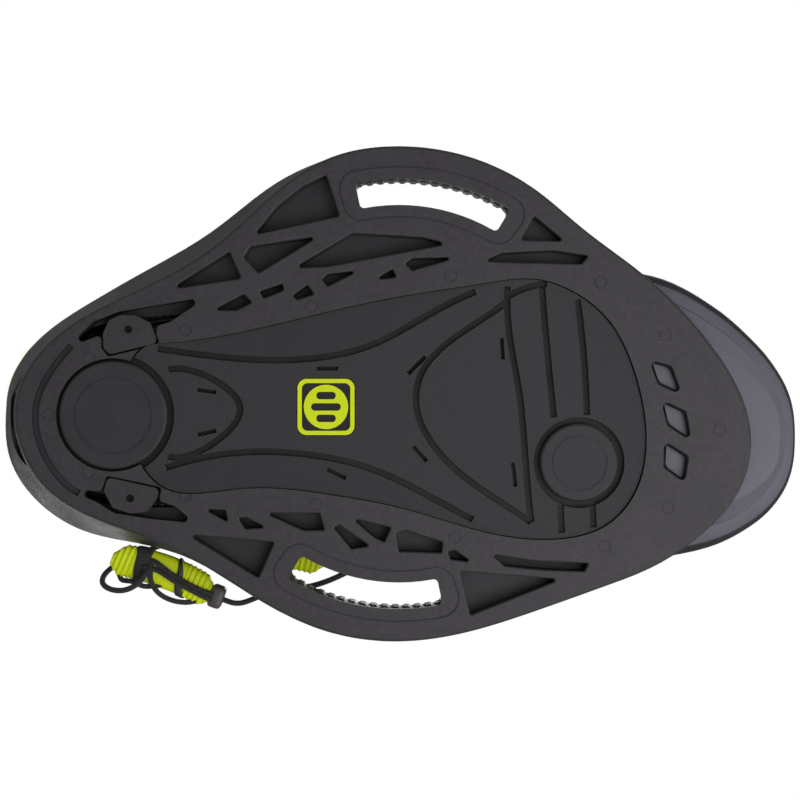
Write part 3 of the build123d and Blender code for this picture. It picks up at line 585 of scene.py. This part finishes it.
def stitches(name, rows, lift, body="boot"):
    """Rows of sewn stitches, each row a path and a sideways offset in mm."""
    vertices, faces = [], []
    for path, offset in rows:
        u, v, side_u, side_v = path_on_boot(path, 500)
        points = on_boot(u + side_u * offset * MM, v + side_v * offset * MM, lift)
        along = np.concatenate([[0], np.cumsum(np.linalg.norm(np.diff(points, axis=0), axis=1))])
        up = normals(u, v)
        for place in np.arange(STITCH_SPACING / 2 * MM, along[-1], STITCH_SPACING * MM):
            def at(distance, values):
                return np.array([np.interp(distance, along, column) for column in values.T])
            start, end = (at(place + half * STITCH_LENGTH / 2 * MM, points) for half in (-1, 1))
            normal = at(place, up)
            add_dash(vertices, faces, start, end, normal, STITCH_RADIUS * MM)
    add_mesh(name, vertices, faces, "thread", body)


def add_dash(vertices, faces, start, end, normal, radius):
    """One stitch: a short spindle that arches a little off the surface."""
    way = (end - start) / max(np.linalg.norm(end - start), 1e-9)
    across = np.cross(way, normal)
    base = len(vertices)
    vertices.append(start - normal * radius * 0.6)
    for share in (0.2, 0.5, 0.8):
        centre = start + (end - start) * share + normal * radius * (0.5 if share == 0.5 else 0.2)
        for k in range(6):
            angle = k * pi / 3
            vertices.append(centre + (across * cos(angle) + normal * sin(angle)) * radius)
    vertices.append(end - normal * radius * 0.6)
    for k in range(6):
        n = (k + 1) % 6
        faces.append((base, base + 1 + n, base + 1 + k))
        for ring in (0, 6):
            a = base + 1 + ring
            faces.append((a + k, a + n, a + 6 + n, a + 6 + k))
        faces.append((base + 19, base + 13 + k, base + 13 + n))


def tubes(name, material, lines, radius, sides=12, flat=1.0, body="boot"):
    """One piece of tubes, their radius in mm, along lines in metres; flat squeezes their section."""
    vertices, faces = [], []
    for line in lines:
        faces += rod_faces(len(line), sides, len(vertices))
        way = np.gradient(line, axis=0)
        way /= np.maximum(np.linalg.norm(way, axis=1, keepdims=True), 1e-12)
        side = np.cross(way[0], UP)
        if np.linalg.norm(side) < 0.1:
            side = np.cross(way[0], (1.0, 0.0, 0.0))
        for point, forward in zip(line, way):
            side = side - forward * np.dot(side, forward)
            side /= max(np.linalg.norm(side), 1e-12)
            other = np.cross(forward, side)
            for angle in round_the(sides):
                out = side * cos(angle) + other * sin(angle) * flat
                vertices.append(point + out * (radius * MM))
    return add_mesh(name, vertices, faces, material, body)


def round_the(count):
    """Even angles round a circle."""
    return [2 * pi * k / count for k in range(count)]


def squared(angle, power):
    """Cosine and sine of an angle, squared off by a power below 1."""
    return [np.sign(part) * abs(part) ** power for part in (cos(angle), sin(angle))]


def contour(height, u_end, count):
    """u and v along the boot's outline at one height in mm, round the toe from lateral to medial."""
    low, high = 0.0, 4.0
    for _ in range(HALVINGS):
        middle = (low + high) / 2
        low, high = (middle, high) if station(middle)[1] > height else (low, middle)
    u = high + (u_end - high) * span(0, 1, count) ** 2
    top, bottom = np.zeros(count), np.full(count, pi)
    for _ in range(HALVINGS):
        middle = (top + bottom) / 2
        above = surface(u, middle)[:, 2] > height * MM
        top, bottom = np.where(above, middle, top), np.where(above, bottom, middle)
    return np.concatenate([u[:0:-1], u]), np.concatenate([2 * pi - top[:0:-1], top])


def v_of(u, y):
    """The v at which the boot's front or top surface stands at a given y in mm."""
    values = station(u)
    away = y - values[..., 4]
    share = np.clip(np.abs(away) / values[..., 5], 0, 1) ** (values[..., 7] / 2)
    return np.sign(away) * np.arcsin(share)


def line_at(places, y):
    """A path of (u, v in degrees) over the throat's surface at one y in mm."""
    return [(u, np.degrees(float(v_of(u, y)))) for u in places]


def lacing_place(way, place, y):
    """u and v on the boot at one lacing level: straight up from an x, or straight forward at a height."""
    low, high = 6.0, TOP
    for _ in range(HALVINGS):
        u = (low + high) / 2
        x, _, z = surface(u, v_of(u, y)) / MM
        before = x > place if way == "up" else z < place
        low, high = (u, high) if before else (low, u)
    return u, float(v_of(u, y))


# ---- boot: upper, toe and heel ----
def throat_lines(u):
    """v of the throat's lateral and medial edges, closing smoothly at the throat's front end."""
    opening = np.sqrt(np.clip((np.asarray(u) - THROAT_START) / 0.35, 0, 1))
    middle = v_of(u, THROAT_Y)
    lateral, medial = v_of(u, THROAT_Y - THROAT_HALF), v_of(u, THROAT_Y + THROAT_HALF)
    return middle + (lateral - middle) * opening, middle + (medial - middle) * opening


def add_upper():
    """The upper from under the toe cap to the shell's top, creased at the ankle and over the ball."""
    u_line = np.concatenate([span(0.4, THROAT_START, 46), span(THROAT_START + 0.02, THROAT_START + 0.4, 8),
                             span(THROAT_START + 0.5, TOP, 84)])
    lateral, medial = throat_lines(u_line)
    u, v = mesh_between(u_line, medial + 0.0005, 2 * pi + lateral - 0.0005, 120)
    creases = 0.35 * np.sin(9.0 * u + 2.0 * np.sin(3 * v)) * np.exp(-((u - 15.8) / 2.6) ** 2)
    creases *= np.cos(v) > -0.7
    creases += 0.25 * np.sin(14.0 * u + 3.0 * np.sin(2 * v)) * np.exp(-((u - 6.6) / 1.0) ** 2)
    obj = panel("boot_upper", "upper", u, v, creases, 3.0)
    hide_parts("vamp", "quarter_lateral", "quarter_medial", "cuff")


def add_toe_cap():
    """Smooth grey toe cap with a sewn binding over its rear edge and a thin seam round its foot."""
    tip = -0.98
    v_line = span(-pi, pi, 145)[:-1]
    share = np.concatenate([[0.0, 0.01, 0.03], span(0.06, 1, 50)])
    reach = 5.2 - 0.5 * np.cos(v_line) ** 2 + 0.7 * (np.cos(v_line) < 0) * np.cos(v_line) ** 2
    u = share[:, None] * (reach[None, :] - tip) + tip
    v = np.repeat(v_line[None, :], len(share), 0)
    obj = panel("toe_cap_rubber", "toe", u, v, 1.2, 1.6, around=True, rounding=0)
    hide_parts("toe_cap")
    edge = [(5.12 + 0.45 * sin(radians(a)) ** 2, a) for a in range(-105, 106, 15)]
    strap("toe_cap_binding", "overlay", edge, 5.0, 1.6, 1.3, 0.3)
    stitches("toe_cap_stitches", [(edge, -1.6), (edge, 1.6)], 1.8)
    block("toe_cap_tip", "toe", np.array((152.1, 16.5, 18.4)) * MM, np.eye(3), (0.86, 1.8, 1.4))
    tubes("toe_cap_seam", "rand", [on_boot(*contour(5.7, 5.0, 60), 1.15)], 0.35)


def add_toe_rand():
    """Narrow black rand round the widest part of the toe: heights and lifts of its rows in mm."""
    rows = ((9.8, 1.4), (10.8, 1.6), (12.0, 1.7), (13.4, 1.7), (14.6, 1.6), (15.6, 1.4))
    u, v = np.moveaxis(np.array([contour(height, 6.3, 60) for height, _ in rows]), 1, 0)
    lift = np.array([row_lift for _, row_lift in rows])[:, None]
    obj = panel("toe_rand_rubber", "rand", u, v, lift, 1.4, rounding=0)
    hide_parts("toe_rand")


def heel_spread(share):
    """Half angle in degrees that the heel counter reaches round the heel, from its foot to its top."""
    return 66 + 26 * np.maximum(np.cos(share * pi / 2), 0) ** 1.5


def add_heel():
    """Glossy heel counter with stitched sides, a lime line along its top and four ridges across it."""
    foot, top = 12.6, 17.6
    u_line = span(foot, top, 50)
    spread = np.radians(heel_spread((u_line - foot) / 5.0))
    u, v = mesh_between(u_line, pi - spread, pi + spread, 61)
    obj = panel("heel_counter_shell", "gloss", u, v, 2.0, 3.0, rounding=0.9)
    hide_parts("heel_counter")
    for side, word in SIDES[::-1]:
        edge = [(foot + 5 * k / 6, 180 + side * heel_spread(k / 6)) for k in range(7)]
        stitches(f"heel_edge_stitches_{word}", [(edge, side * 2.4)], 0.45)
    line = [(top, 180 + a) for a in (-64, -40, -20, 0, 20, 40, 64)]
    strap("heel_top_piping", "lime", line, 1.8, 2.9, 1.6, 0.5)
    for k in range(4):
        ridge = [(15.0 + 0.55 * k + 0.12 * abs(a) / 15, 180 + a) for a in range(-50 - 2 * k, 51 + 2 * k, 10)]
        strap(f"heel_ridge_{k}", "overlay", ridge, 3.2, 2.6, 1.2, 0.5)


def add_overlays():
    """Supporting straps, ribs and bands over the upper."""
    for side, word in SIDES:
        def mirrored(*places):
            return [(u, side * v) for u, v in places]
        wrap = mirrored((5.7, 96), (7.5, 101), (9.3, 106), (11.0, 112), (12.9, 121))
        strap(f"side_wrap_{word}", "overlay", wrap, [16, 19, 21, 21, 18], 1.2, 1.4, 0.3)
        stitches(f"side_wrap_stitches_{word}", [(wrap, side * 7.2)], 1.55)
        stay = mirrored((16.6, 128), (15.1, 114), (13.6, 96), (11.9, 68), (10.6, 43))
        strap(f"heel_lock_strap_{word}", "overlay", stay, [22, 19, 17, 17, 20], 1.3, 1.5, 0.3)
        stitches(f"heel_lock_stitches_{word}", [(stay, 6.6), (stay, -6.6)], 1.65)
        ankle = mirrored((19.3, 176), (18.7, 134), (17.7, 96), (17.0, 62), (16.6, 36))
        strap(f"ankle_strap_{word}", "overlay", ankle, [24, 19, 17, 19, 24], 1.2, 1.5, 0.3)
        stitches(f"ankle_strap_stitches_{word}", [(ankle, 6.8), (ankle, -6.8)], 1.55)
        accent = mirrored((18.9, 150), (18.2, 118), (17.3, 84))
        strap(f"accent_line_{word}", "lime", accent, [0.8, 1.8, 0.8], 2.6, 1.2, 0.2)
        for k in range(5):
            rib = mirrored(*[(u + 0.5 * k, v + k) for u, v in ((5.9, 52), (6.4, 68), (7.1, 84))])
            strap(f"vamp_rib_{word}_{k}", "overlay", rib, [0.8, 2.4, 0.8], 0.7, 0.9, 0.3)
    band = [(20.35, a) for a in range(38, 323, 15)]
    strap("cuff_band", "overlay", band, 15.0, 1.3, 1.5, 0.4, count=140)
    stitches("cuff_band_stitches", [(band, 5.6), (band, -5.6)], 1.95)


# ---- throat: tongue, eyestays, guides and laces ----
GUIDE_Y = 27.0          # distance of a lace guide from the throat's middle line, mm
LOWER_LEVELS = [("up", 38.0), ("up", 22.0), ("up", 6.0), ("forward", 132.0)]
UPPER_LEVELS = [("forward", 152.0), ("forward", 174.0), ("forward", 196.0), ("forward", 218.0)]


def add_tongue():
    """Padded tongue with cross channels and a sewn seam along both edges."""
    half = 19.3
    u_line = span(7.62, 21.72, 150)
    u, v = mesh_between(u_line, v_of(u_line, THROAT_Y - half), v_of(u_line, THROAT_Y + half), 41)
    share = span(-1, 1, 41)[None, :]
    channels = 1.3 * np.exp(-((u * 1.7 % 1.0 - 0.5) / 0.11) ** 2) * (np.abs(share) < 0.8)
    seam = 0.9 * np.exp(-((np.abs(share) - 0.84) / 0.05) ** 2)
    lift = 0.6 + 1.5 * (1 - share ** 4) - channels - seam
    obj = panel("tongue_padded", "tongue", u, v, lift, 5.5, body="tongue", rounding=1.6)
    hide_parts("tongue")
    rows = [(line_at(span(8.2, 21.5, 30), THROAT_Y + side * 16.2), 0.0) for side in (-1, 1)]
    stitches("tongue_stitches", rows, 0.9, body="tongue")


def add_eyestays():
    """A sewn panel down each side of the throat, and a bridge across its front end."""
    for side, word in SIDES:
        path = line_at(span(THROAT_START + 0.75, TOP - 0.35, 34), THROAT_Y + side * (THROAT_HALF + 5.3))
        obj = strap(f"eyestay_{word}_panel", "overlay", path, 10.6, 2.0, 1.9, 0.2, count=170)
        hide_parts(f"eyestay_{word}")
        stitches(f"eyestay_stitches_{word}", [(path, 4.2), (path, -4.2)], 2.25)
    bridge = [(7.35, a) for a in (-44, -30, -15, 0, 15, 30, 44)]
    strap("eyestay_bridge", "overlay", bridge, [9, 12, 14, 15, 14, 12, 9], 1.8, 1.7, 0.3)


def add_guides():
    """Moulded lace guides: a flared hood over each turn of the lace."""
    vertices, faces = [], []
    rows, columns = 15, 14
    for way, place in LOWER_LEVELS + UPPER_LEVELS:
        for side in (-1, 1):
            u, v = lacing_place(way, place, THROAT_Y + side * GUIDE_Y)
            point, normal = surface(u, v), normals(u, v)
            along = steps(u, v, 0.02)[0]
            along /= np.linalg.norm(along)
            across = np.cross(along, normal)
            faces += rod_faces(rows, columns, len(vertices))
            for s in [-1 + 2 * i / (rows - 1) for i in range(rows)]:
                for angle in round_the(columns):
                    level, upright = squared(angle, 0.7)
                    reach = level * 4.4 * (1 + 0.35 * s * s)
                    rise = upright * 2.1 * (1.25 - 0.45 * s * s)
                    vertices.append(point + (along * s * 5.4 + across * reach + normal * (rise + 3.1)) * MM)
    obj = add_mesh("lace_guide_hoods", vertices, faces, "guide", rounding=0.5)
    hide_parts("lace_guides")


def lace_strands(levels):
    """Points of one zone's two strands, from guide to guide over the tongue."""
    strands = []
    inset = GUIDE_Y - 1.0
    for side, lift in ((-1, 2.6), (1, 4.9)):
        points = []
        for number, level in enumerate(levels):
            u, v = lacing_place(*level, THROAT_Y + side * inset)
            points.append(on_boot(u, v, 3.4))
            if number < len(levels) - 1:
                after_u, _ = lacing_place(*levels[number + 1], THROAT_Y - side * inset)
                for share, y, extra in ((0.25, 15.0, 0.4), (0.5, 0.0, 0.8), (0.75, -15.0, 0.4)):
                    at = u + (after_u - u) * share
                    points.append(on_boot(at, v_of(at, THROAT_Y + side * y), lift + extra))
            side = -side
        strands.append(points)
    return strands


def add_laces():
    """Each zone's lace in two halves that meet over the middle of the tongue."""
    for zone, levels, height in (("lower", LOWER_LEVELS, 0.1), ("upper", UPPER_LEVELS, 0.18)):
        lines = [smooth_path(points, 24 * len(points)) for points in lace_strands(levels)]
        for side, word in SIDES[::-1]:
            halves = []
            for line in lines:
                inside = ((line[:, 1] - THROAT_Y * MM) * side >= -0.0006).astype(int)
                starts = np.flatnonzero(np.diff(np.concatenate([[0], inside])) == 1)
                ends = np.flatnonzero(np.diff(np.concatenate([inside, [0]])) == -1)
                halves += [line[start:end + 1] for start, end in zip(starts, ends) if end - start > 3]
            obj = tubes(f"{zone}_lace_{word}", "lace", halves, 1.7, flat=0.8, body=None)
            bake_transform(obj)
            if side == 1:
                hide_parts(f"{zone}_lace")


def band_section(half, corner):
    """Eight corners of a webbing band's section, in mm across it and through it."""
    inner, thick = half - 0.4, 0.95
    return [(-half, -corner), (-inner, -thick), (inner, -thick), (half, -corner),
            (half, corner), (inner, thick), (-inner, thick), (-half, corner)]


def add_tongue_loop():
    """Webbing loop sewn to the top of the tongue."""
    low, high = (np.array(corner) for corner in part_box("tongue_pull_loop"))
    half = (high - low) / 2 - 0.002
    count = 72
    line = []
    for angle in round_the(count):
        sideways, upward = squared(angle, 0.85)[1], squared(angle, 0.9)[0]
        line.append((low + high) / 2 + half * (0, sideways, -upward))
    vertices = []
    for k, point in enumerate(line):
        way = line[(k + 1) % count] - line[k - 1]
        out = np.cross(way / np.linalg.norm(way), (1.0, 0.0, 0.0))
        for x, n in band_section(4.0, 0.6):
            vertices.append(point + (np.array((1.0, 0, 0)) * x * 0.55 + out * n) * MM)
    obj = add_mesh("tongue_pull_webbing", vertices, hoop_faces(count, 8), "webbing", "tongue")
    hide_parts("tongue_pull_loop")


# ---- inside: liner, collar and footbed ----
def add_liner():
    """Soft quilted bootie and the moulded footbed inside it."""
    u, v = np.meshgrid(span(1.6, TOP, 90), span(-pi, pi, 97)[:-1], indexing="ij")
    obj = panel("liner_bootie", "cloth", u, v, -3.3 + 0.25 * np.sin(u * 11) * np.sin(5 * v), 5.2, around=True)
    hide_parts("liner")
    u, v = np.meshgrid(span(2.6, 12.4, 60), span(pi - 0.95, pi + 0.95, 31), indexing="ij")
    bed = panel("footbed_moulded", "footbed", u, v, -12.2 + 1.6 * np.cos(v) ** 2, 3.4, rounding=1.0)
    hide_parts("footbed")


def add_collar():
    """Plump padded collar: a closed roll, creased along its length."""
    vertices = []
    count, sides = 144, 28
    for v in round_the(count):
        inner, outer = on_boot(TOP, v, -9.3), on_boot(TOP, v, -2.9)
        middle, half = (inner + outer) / 2, np.linalg.norm(outer - inner) / 2
        out = (outer - inner) / (2 * half)
        plump = 1 + 0.05 * sin(5 * v + 0.7) + 0.03 * sin(11 * v)
        for angle in round_the(sides):
            level, upright = squared(angle, 0.8)
            wide = level * half * 1.18 * plump * (1 - 0.12 * exp(-((sin(angle) - 0.15) / 0.12) ** 2))
            tall = upright * 8.4 * (1 if sin(angle) > 0 else 0.9) * plump + 4.2
            vertices.append(middle + out * wide + UP * tall * MM)
    obj = add_mesh("collar_padded", vertices, hoop_faces(count, sides, flip=True), "collar")
    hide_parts("collar_pad")


def add_heel_loop():
    """Wide webbing loop up the back of the shaft."""
    path = smooth_path([(-137.6, 0, 176), (-139.5, 0, 184), (-148.5, 0, 191), (-153.6, 0, 206),
                        (-151.4, 0, 221), (-145.6, 0, 229), (-145.4, 0, 236)], 70)
    vertices = []
    for k, point in enumerate(path):
        way = path[min(k + 1, len(path) - 1)] - path[max(k - 1, 0)]
        way /= np.linalg.norm(way)
        out = np.array((-way[2], 0.0, way[0]))
        for y, n in band_section(10, 0.5):
            vertices.append((point + out * n + np.array((0, MID_Y + y, 0))) * MM)
    obj = add_mesh("heel_pull_webbing", vertices, rod_faces(len(path), 8), "webbing")
    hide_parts("heel_pull_loop")


# ---- locks, buttons, handles and cords ----
def add_locks():
    """Lace lock housings with a rounded plan, a ribbed edge and a well for each button."""
    vertices, faces = [], []
    count = 48
    body = [(-9.5, 0.97), (-2.4, 1.0), (-1.2, 0.985), (-0.35, 0.93), (0.0, 0.85)]
    well = [(0.0, 0.36), (-0.3, 0.335), (-5.8, 0.33)]
    for x, y, z in LOCKS.values():
        faces += rod_faces(len(body + well), count, len(vertices), flip=True)
        for depth, scale in body + well:
            in_body = scale > 0.5
            power, across, tall = (0.62, 12.0, 8.5) if in_body else (1.0, 16.0, 16.0)
            for angle in round_the(count):
                level, upright = squared(angle, power)
                ribbed = depth in (-2.4, -9.5) and abs(cos(angle)) > 0.75
                rib = 0.25 * (cos(14 * angle) > 0.2) if ribbed else 0
                place = (x + level * (across * scale + rib), y + depth, z + upright * tall * scale)
                vertices.append(np.array(place) * MM)
    obj = add_mesh("lace_lock_housings", vertices, faces, "guide", rounding=0.4)
    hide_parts("lace_locks")


def add_buttons():
    """Round lime buttons with a fluted side and a dished top: profile of radius and height in mm."""
    profile = [(4.9, -2.9), (4.95, 1.9), (4.8, 2.6), (4.4, 3.05), (3.9, 3.2), (3.2, 3.15), (2.6, 2.75),
               (0.6, 2.6)]
    sides, flutes = 72, 18
    turn = Vector((0, 0, 1)).rotation_difference(Vector((0, 1, 0))).to_matrix()
    for level, centre in LOCKS.items():
        vertices = []
        for radius, height in profile:
            for angle in round_the(sides):
                reach = radius * (1 - 0.03 * (0.5 + 0.5 * cos(flutes * angle)))
                point = turn @ Vector((reach * cos(angle), reach * sin(angle), height))
                vertices.append((np.array(centre) + np.array(point)) * MM)
        faces = rod_faces(len(profile), sides)
        obj = add_mesh(f"{level}_button_cap", vertices, faces, "lime", f"{level}_button")
        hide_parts(f"{level}_lock_button")


def handle_frame(name):
    """Centre of a pull handle in metres, and its directions along and across."""
    centre, turn = HANDLES[name]
    along = np.array((cos(radians(turn)), sin(radians(turn)), 0.0))
    return np.array(centre) * MM, along, np.array((-along[1], along[0], 0.0))


def handle_band(s):
    """Half width and half thickness in mm of the grip at a place along it, from -1 to 1."""
    wide = 6.6 - 0.7 * abs(s) ** 1.5
    if abs(s) > 0.8:
        wide *= 1 - 0.6 * ((abs(s) - 0.8) / 0.2) ** 1.1
    return wide, 3.3 - 0.9 * abs(s) ** 3


def grip_point(place, s, angle, wider, thicker):
    """A point round the bowed grip at s along it, so many mm outside its plain section."""
    centre, along, across = place
    wide, thick = handle_band(s)
    level, upright = squared(angle, 0.6)
    reach = level * (wide + wider) - 2.2 * (1 - s * s)
    return centre + (along * s * HANDLE_HALF + across * reach + UP * upright * (thick + thicker)) * MM


def add_handle(name, sideways):
    """Pull handle: a bowed grip, ribbed at both ends, shifted sideways by so many mm."""
    centre, along, across = handle_frame(name)
    place = (centre + across * sideways * MM, along, across)
    vertices, rows, columns = [], 160, 40
    rib_spacing, rib_height = 2.1, 0.65
    for s in [-1 + 2 * i / (rows - 1) for i in range(rows)]:
        for angle in round_the(columns):
            rib = 0.0
            if 0.42 < abs(s) < 0.94:
                phase = s * HANDLE_HALF / rib_spacing + 0.25 * cos(angle)
                rib = rib_height * max(0.0, cos(2 * pi * phase)) ** 0.6
            vertices.append(grip_point(place, s, angle, rib * 0.6, rib - 0.3))
    grip = add_mesh(f"{name}_grip", vertices, rod_faces(rows, columns), "lime")
    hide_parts(name)


def around_handle(name, material, s_from, s_to, lift, slant, ends):
    """A band round the rear grip between two places along it; ends are its width factors at its two edges."""
    place = handle_frame("rear_lace_handle")
    vertices, rows, columns = [], 11, 40
    for inner in (False, True):
        for share in [i / (rows - 1) for i in range(rows)]:
            for angle in round_the(columns):
                width = (s_to - s_from) * (ends[0] + (ends[1] - ends[0]) * (0.5 + 0.5 * cos(angle)))
                s = (s_from + s_to) / 2 + slant * cos(angle) + (share - 0.5) * width
                out = -0.5 if inner else lift * (1 - (2 * share - 1) ** 6 * 0.5)
                vertices.append(grip_point(place, s, angle, out, out))
    count = rows * columns
    faces = grid_faces(rows, columns, 0, True) + grid_faces(rows, columns, count, True, flip=True)
    for j in range(columns):
        k = (j + 1) % columns
        faces.append((k, j, j + count, k + count))
        a, b = (rows - 1) * columns + j, (rows - 1) * columns + k
        faces.append((a, b, b + count, a + count))
    add_mesh(name, vertices, faces, material)


def block(name, material, centre, axes, half):
    """A rounded block with its three half sizes in mm along three axes."""
    vertices, rows, columns, power = [], 17, 32, 0.45
    for i in range(rows):
        ring, rise = squared(-pi / 2 + pi * i / (rows - 1), power)
        for angle in round_the(columns):
            level, upright = squared(angle, power)
            parts = zip(axes, half, (ring * level, ring * upright, rise))
            vertices.append(centre + sum(axis * size * part for axis, size, part in parts) * MM)
    obj = add_mesh(name, vertices, grid_faces(rows, columns, 0, around=True), material)


def add_handle_gear():
    """What the rear handle carries: webbing band, clip, end buckle and the cord's turns along the grip."""
    centre, along, across = handle_frame("rear_lace_handle")
    around_handle("handle_band", "webbing", -0.57, -0.29, 0.75, 0.03, (1.15, 0.6))
    around_handle("handle_clip", "guide", 0.24, 0.4, 0.7, 0.1, (0.4, 1.1))
    block("handle_end_buckle", "buckle", centre + along * 22.6 * MM, (along, across, UP), (2.9, 4.6, 3.6))
    turns = [
        [(-8, -4.2, -1), (-4, -4.9, -4.3), (4, -2.6, -4.7), (12, -1.2, -4.7), (19, -0.6, -3.9),
         (23, -1.5, -1)],
        [(-8, -1.6, -4), (-2, -2.2, -4.5), (6, -0.6, -5.5), (14, 0.6, -5.3), (19.5, 1.4, -4),
         (23.4, 0.8, -0.8)],
        [(-5, -2, -4.3), (-3.5, 2.2, -4.3), (0.5, 5.8, -3.6), (6, 7.2, -1.8), (12, 6.2, -1.4),
         (17.5, 3.2, -1)],
        [(-17, 4, 0.5), (-14.5, 6.4, -1), (-10.5, 5.6, -2.2), (-5, 5.6, -2.4), (1, 3, -1.4)]]
    lines = [smooth_path([centre + (along * a + across * b) * MM + UP * c * MM for a, b, c in turn], 60)
             for turn in turns]
    tubes("handle_cord_turns", "lace", lines, CORD_D / 2 * 0.95)


def add_cord(name, points):
    """A free cord as a smooth curve through its route's control points."""
    curve = bpy.data.curves.new(name, "CURVE")
    curve.dimensions = "3D"
    spline = curve.splines.new("NURBS")
    spline.points.add(len(points) - 1)
    for target, (x, y, z) in zip(spline.points, points):
        target.co = (x * MM, y * MM, z * MM, 1)
    spline.order_u = 3
    spline.use_endpoint_u = True
    spline.resolution_u = 10
    curve.bevel_depth = CORD_D / 2 * MM
    curve.bevel_resolution = 5
    curve.use_fill_caps = True
    curve.materials.append(MATERIALS["lace"])
    obj = add_object(f"{name}_line", curve)
    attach(obj, "boot")
    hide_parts(name)


def add_window_edges():
    """Rolled edge inside each of the three windows in the toe plate, near black as painted shade on the
    window's wall.
    """
    inset, bend, height = 0.035, 2.2, 0.9
    lines = []
    for corners in TOE_WINDOWS:
        corners = np.array(corners, float)
        inner = corners + (corners.mean(0) - corners) * inset
        line = []
        for k, corner in enumerate(inner):
            before, after = inner[k - 1] - corner, inner[(k + 1) % 4] - corner
            start = corner + before / np.linalg.norm(before) * bend
            end = corner + after / np.linalg.norm(after) * bend
            for t in span(0, 1, 8):
                x, y = start * (1 - t) ** 2 + corner * 2 * t * (1 - t) + end * t ** 2
                line.append((x * MM, y * MM, height * MM))
        lines.append(np.array(line + line[:1]))
    # near-black tubes: painted shade round the inside of each window
    tubes("toe_window_edges", "steel", lines, 0.85, 8)


def add_cup_piping():
    """Thin lime line round the lateral rim of the heel cup."""
    rim = [(-153.0, -2, 27.6), (-151.6, -6.5, 27.7), (-149.2, -11.2, 27.7), (-145.0, -17.2, 27.7),
           (-138.8, -23.0, 27.6)]
    line = smooth_path([np.array(p) * MM for p in rim], 80)
    tubes("cup_rim_piping", "lime", [line], 0.5)


# ---- making it all ----
set_the_stage()
MATERIALS = add_materials()
for cord, route in CORDS.items():
    add_cord(cord, route)

CAD_FINISH = {
    "chassis_frame": "frame", "heel_lugs": "frame", "heel_lug_screws": "steel", "sole_pad": "foam",
    "heel_pad_disc": "pad", "ball_pad_disc": "pad", "sole_badge": "badge", "lasting_board": "board"}
for node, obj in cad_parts.items():
    obj.data.materials.clear()
    obj.data.materials.append(MATERIALS[CAD_FINISH.get(node, "upper")])

add_upper()
add_toe_cap()
add_toe_rand()
add_heel()
add_overlays()
add_tongue()
add_eyestays()
add_guides()
add_laces()
add_tongue_loop()
add_liner()
add_collar()
add_heel_loop()
add_locks()
add_buttons()
add_handle("rear_lace_handle", 0.0)
add_handle_gear()
add_handle("front_lace_handle", 3.2)
add_cup_piping()
add_window_edges()
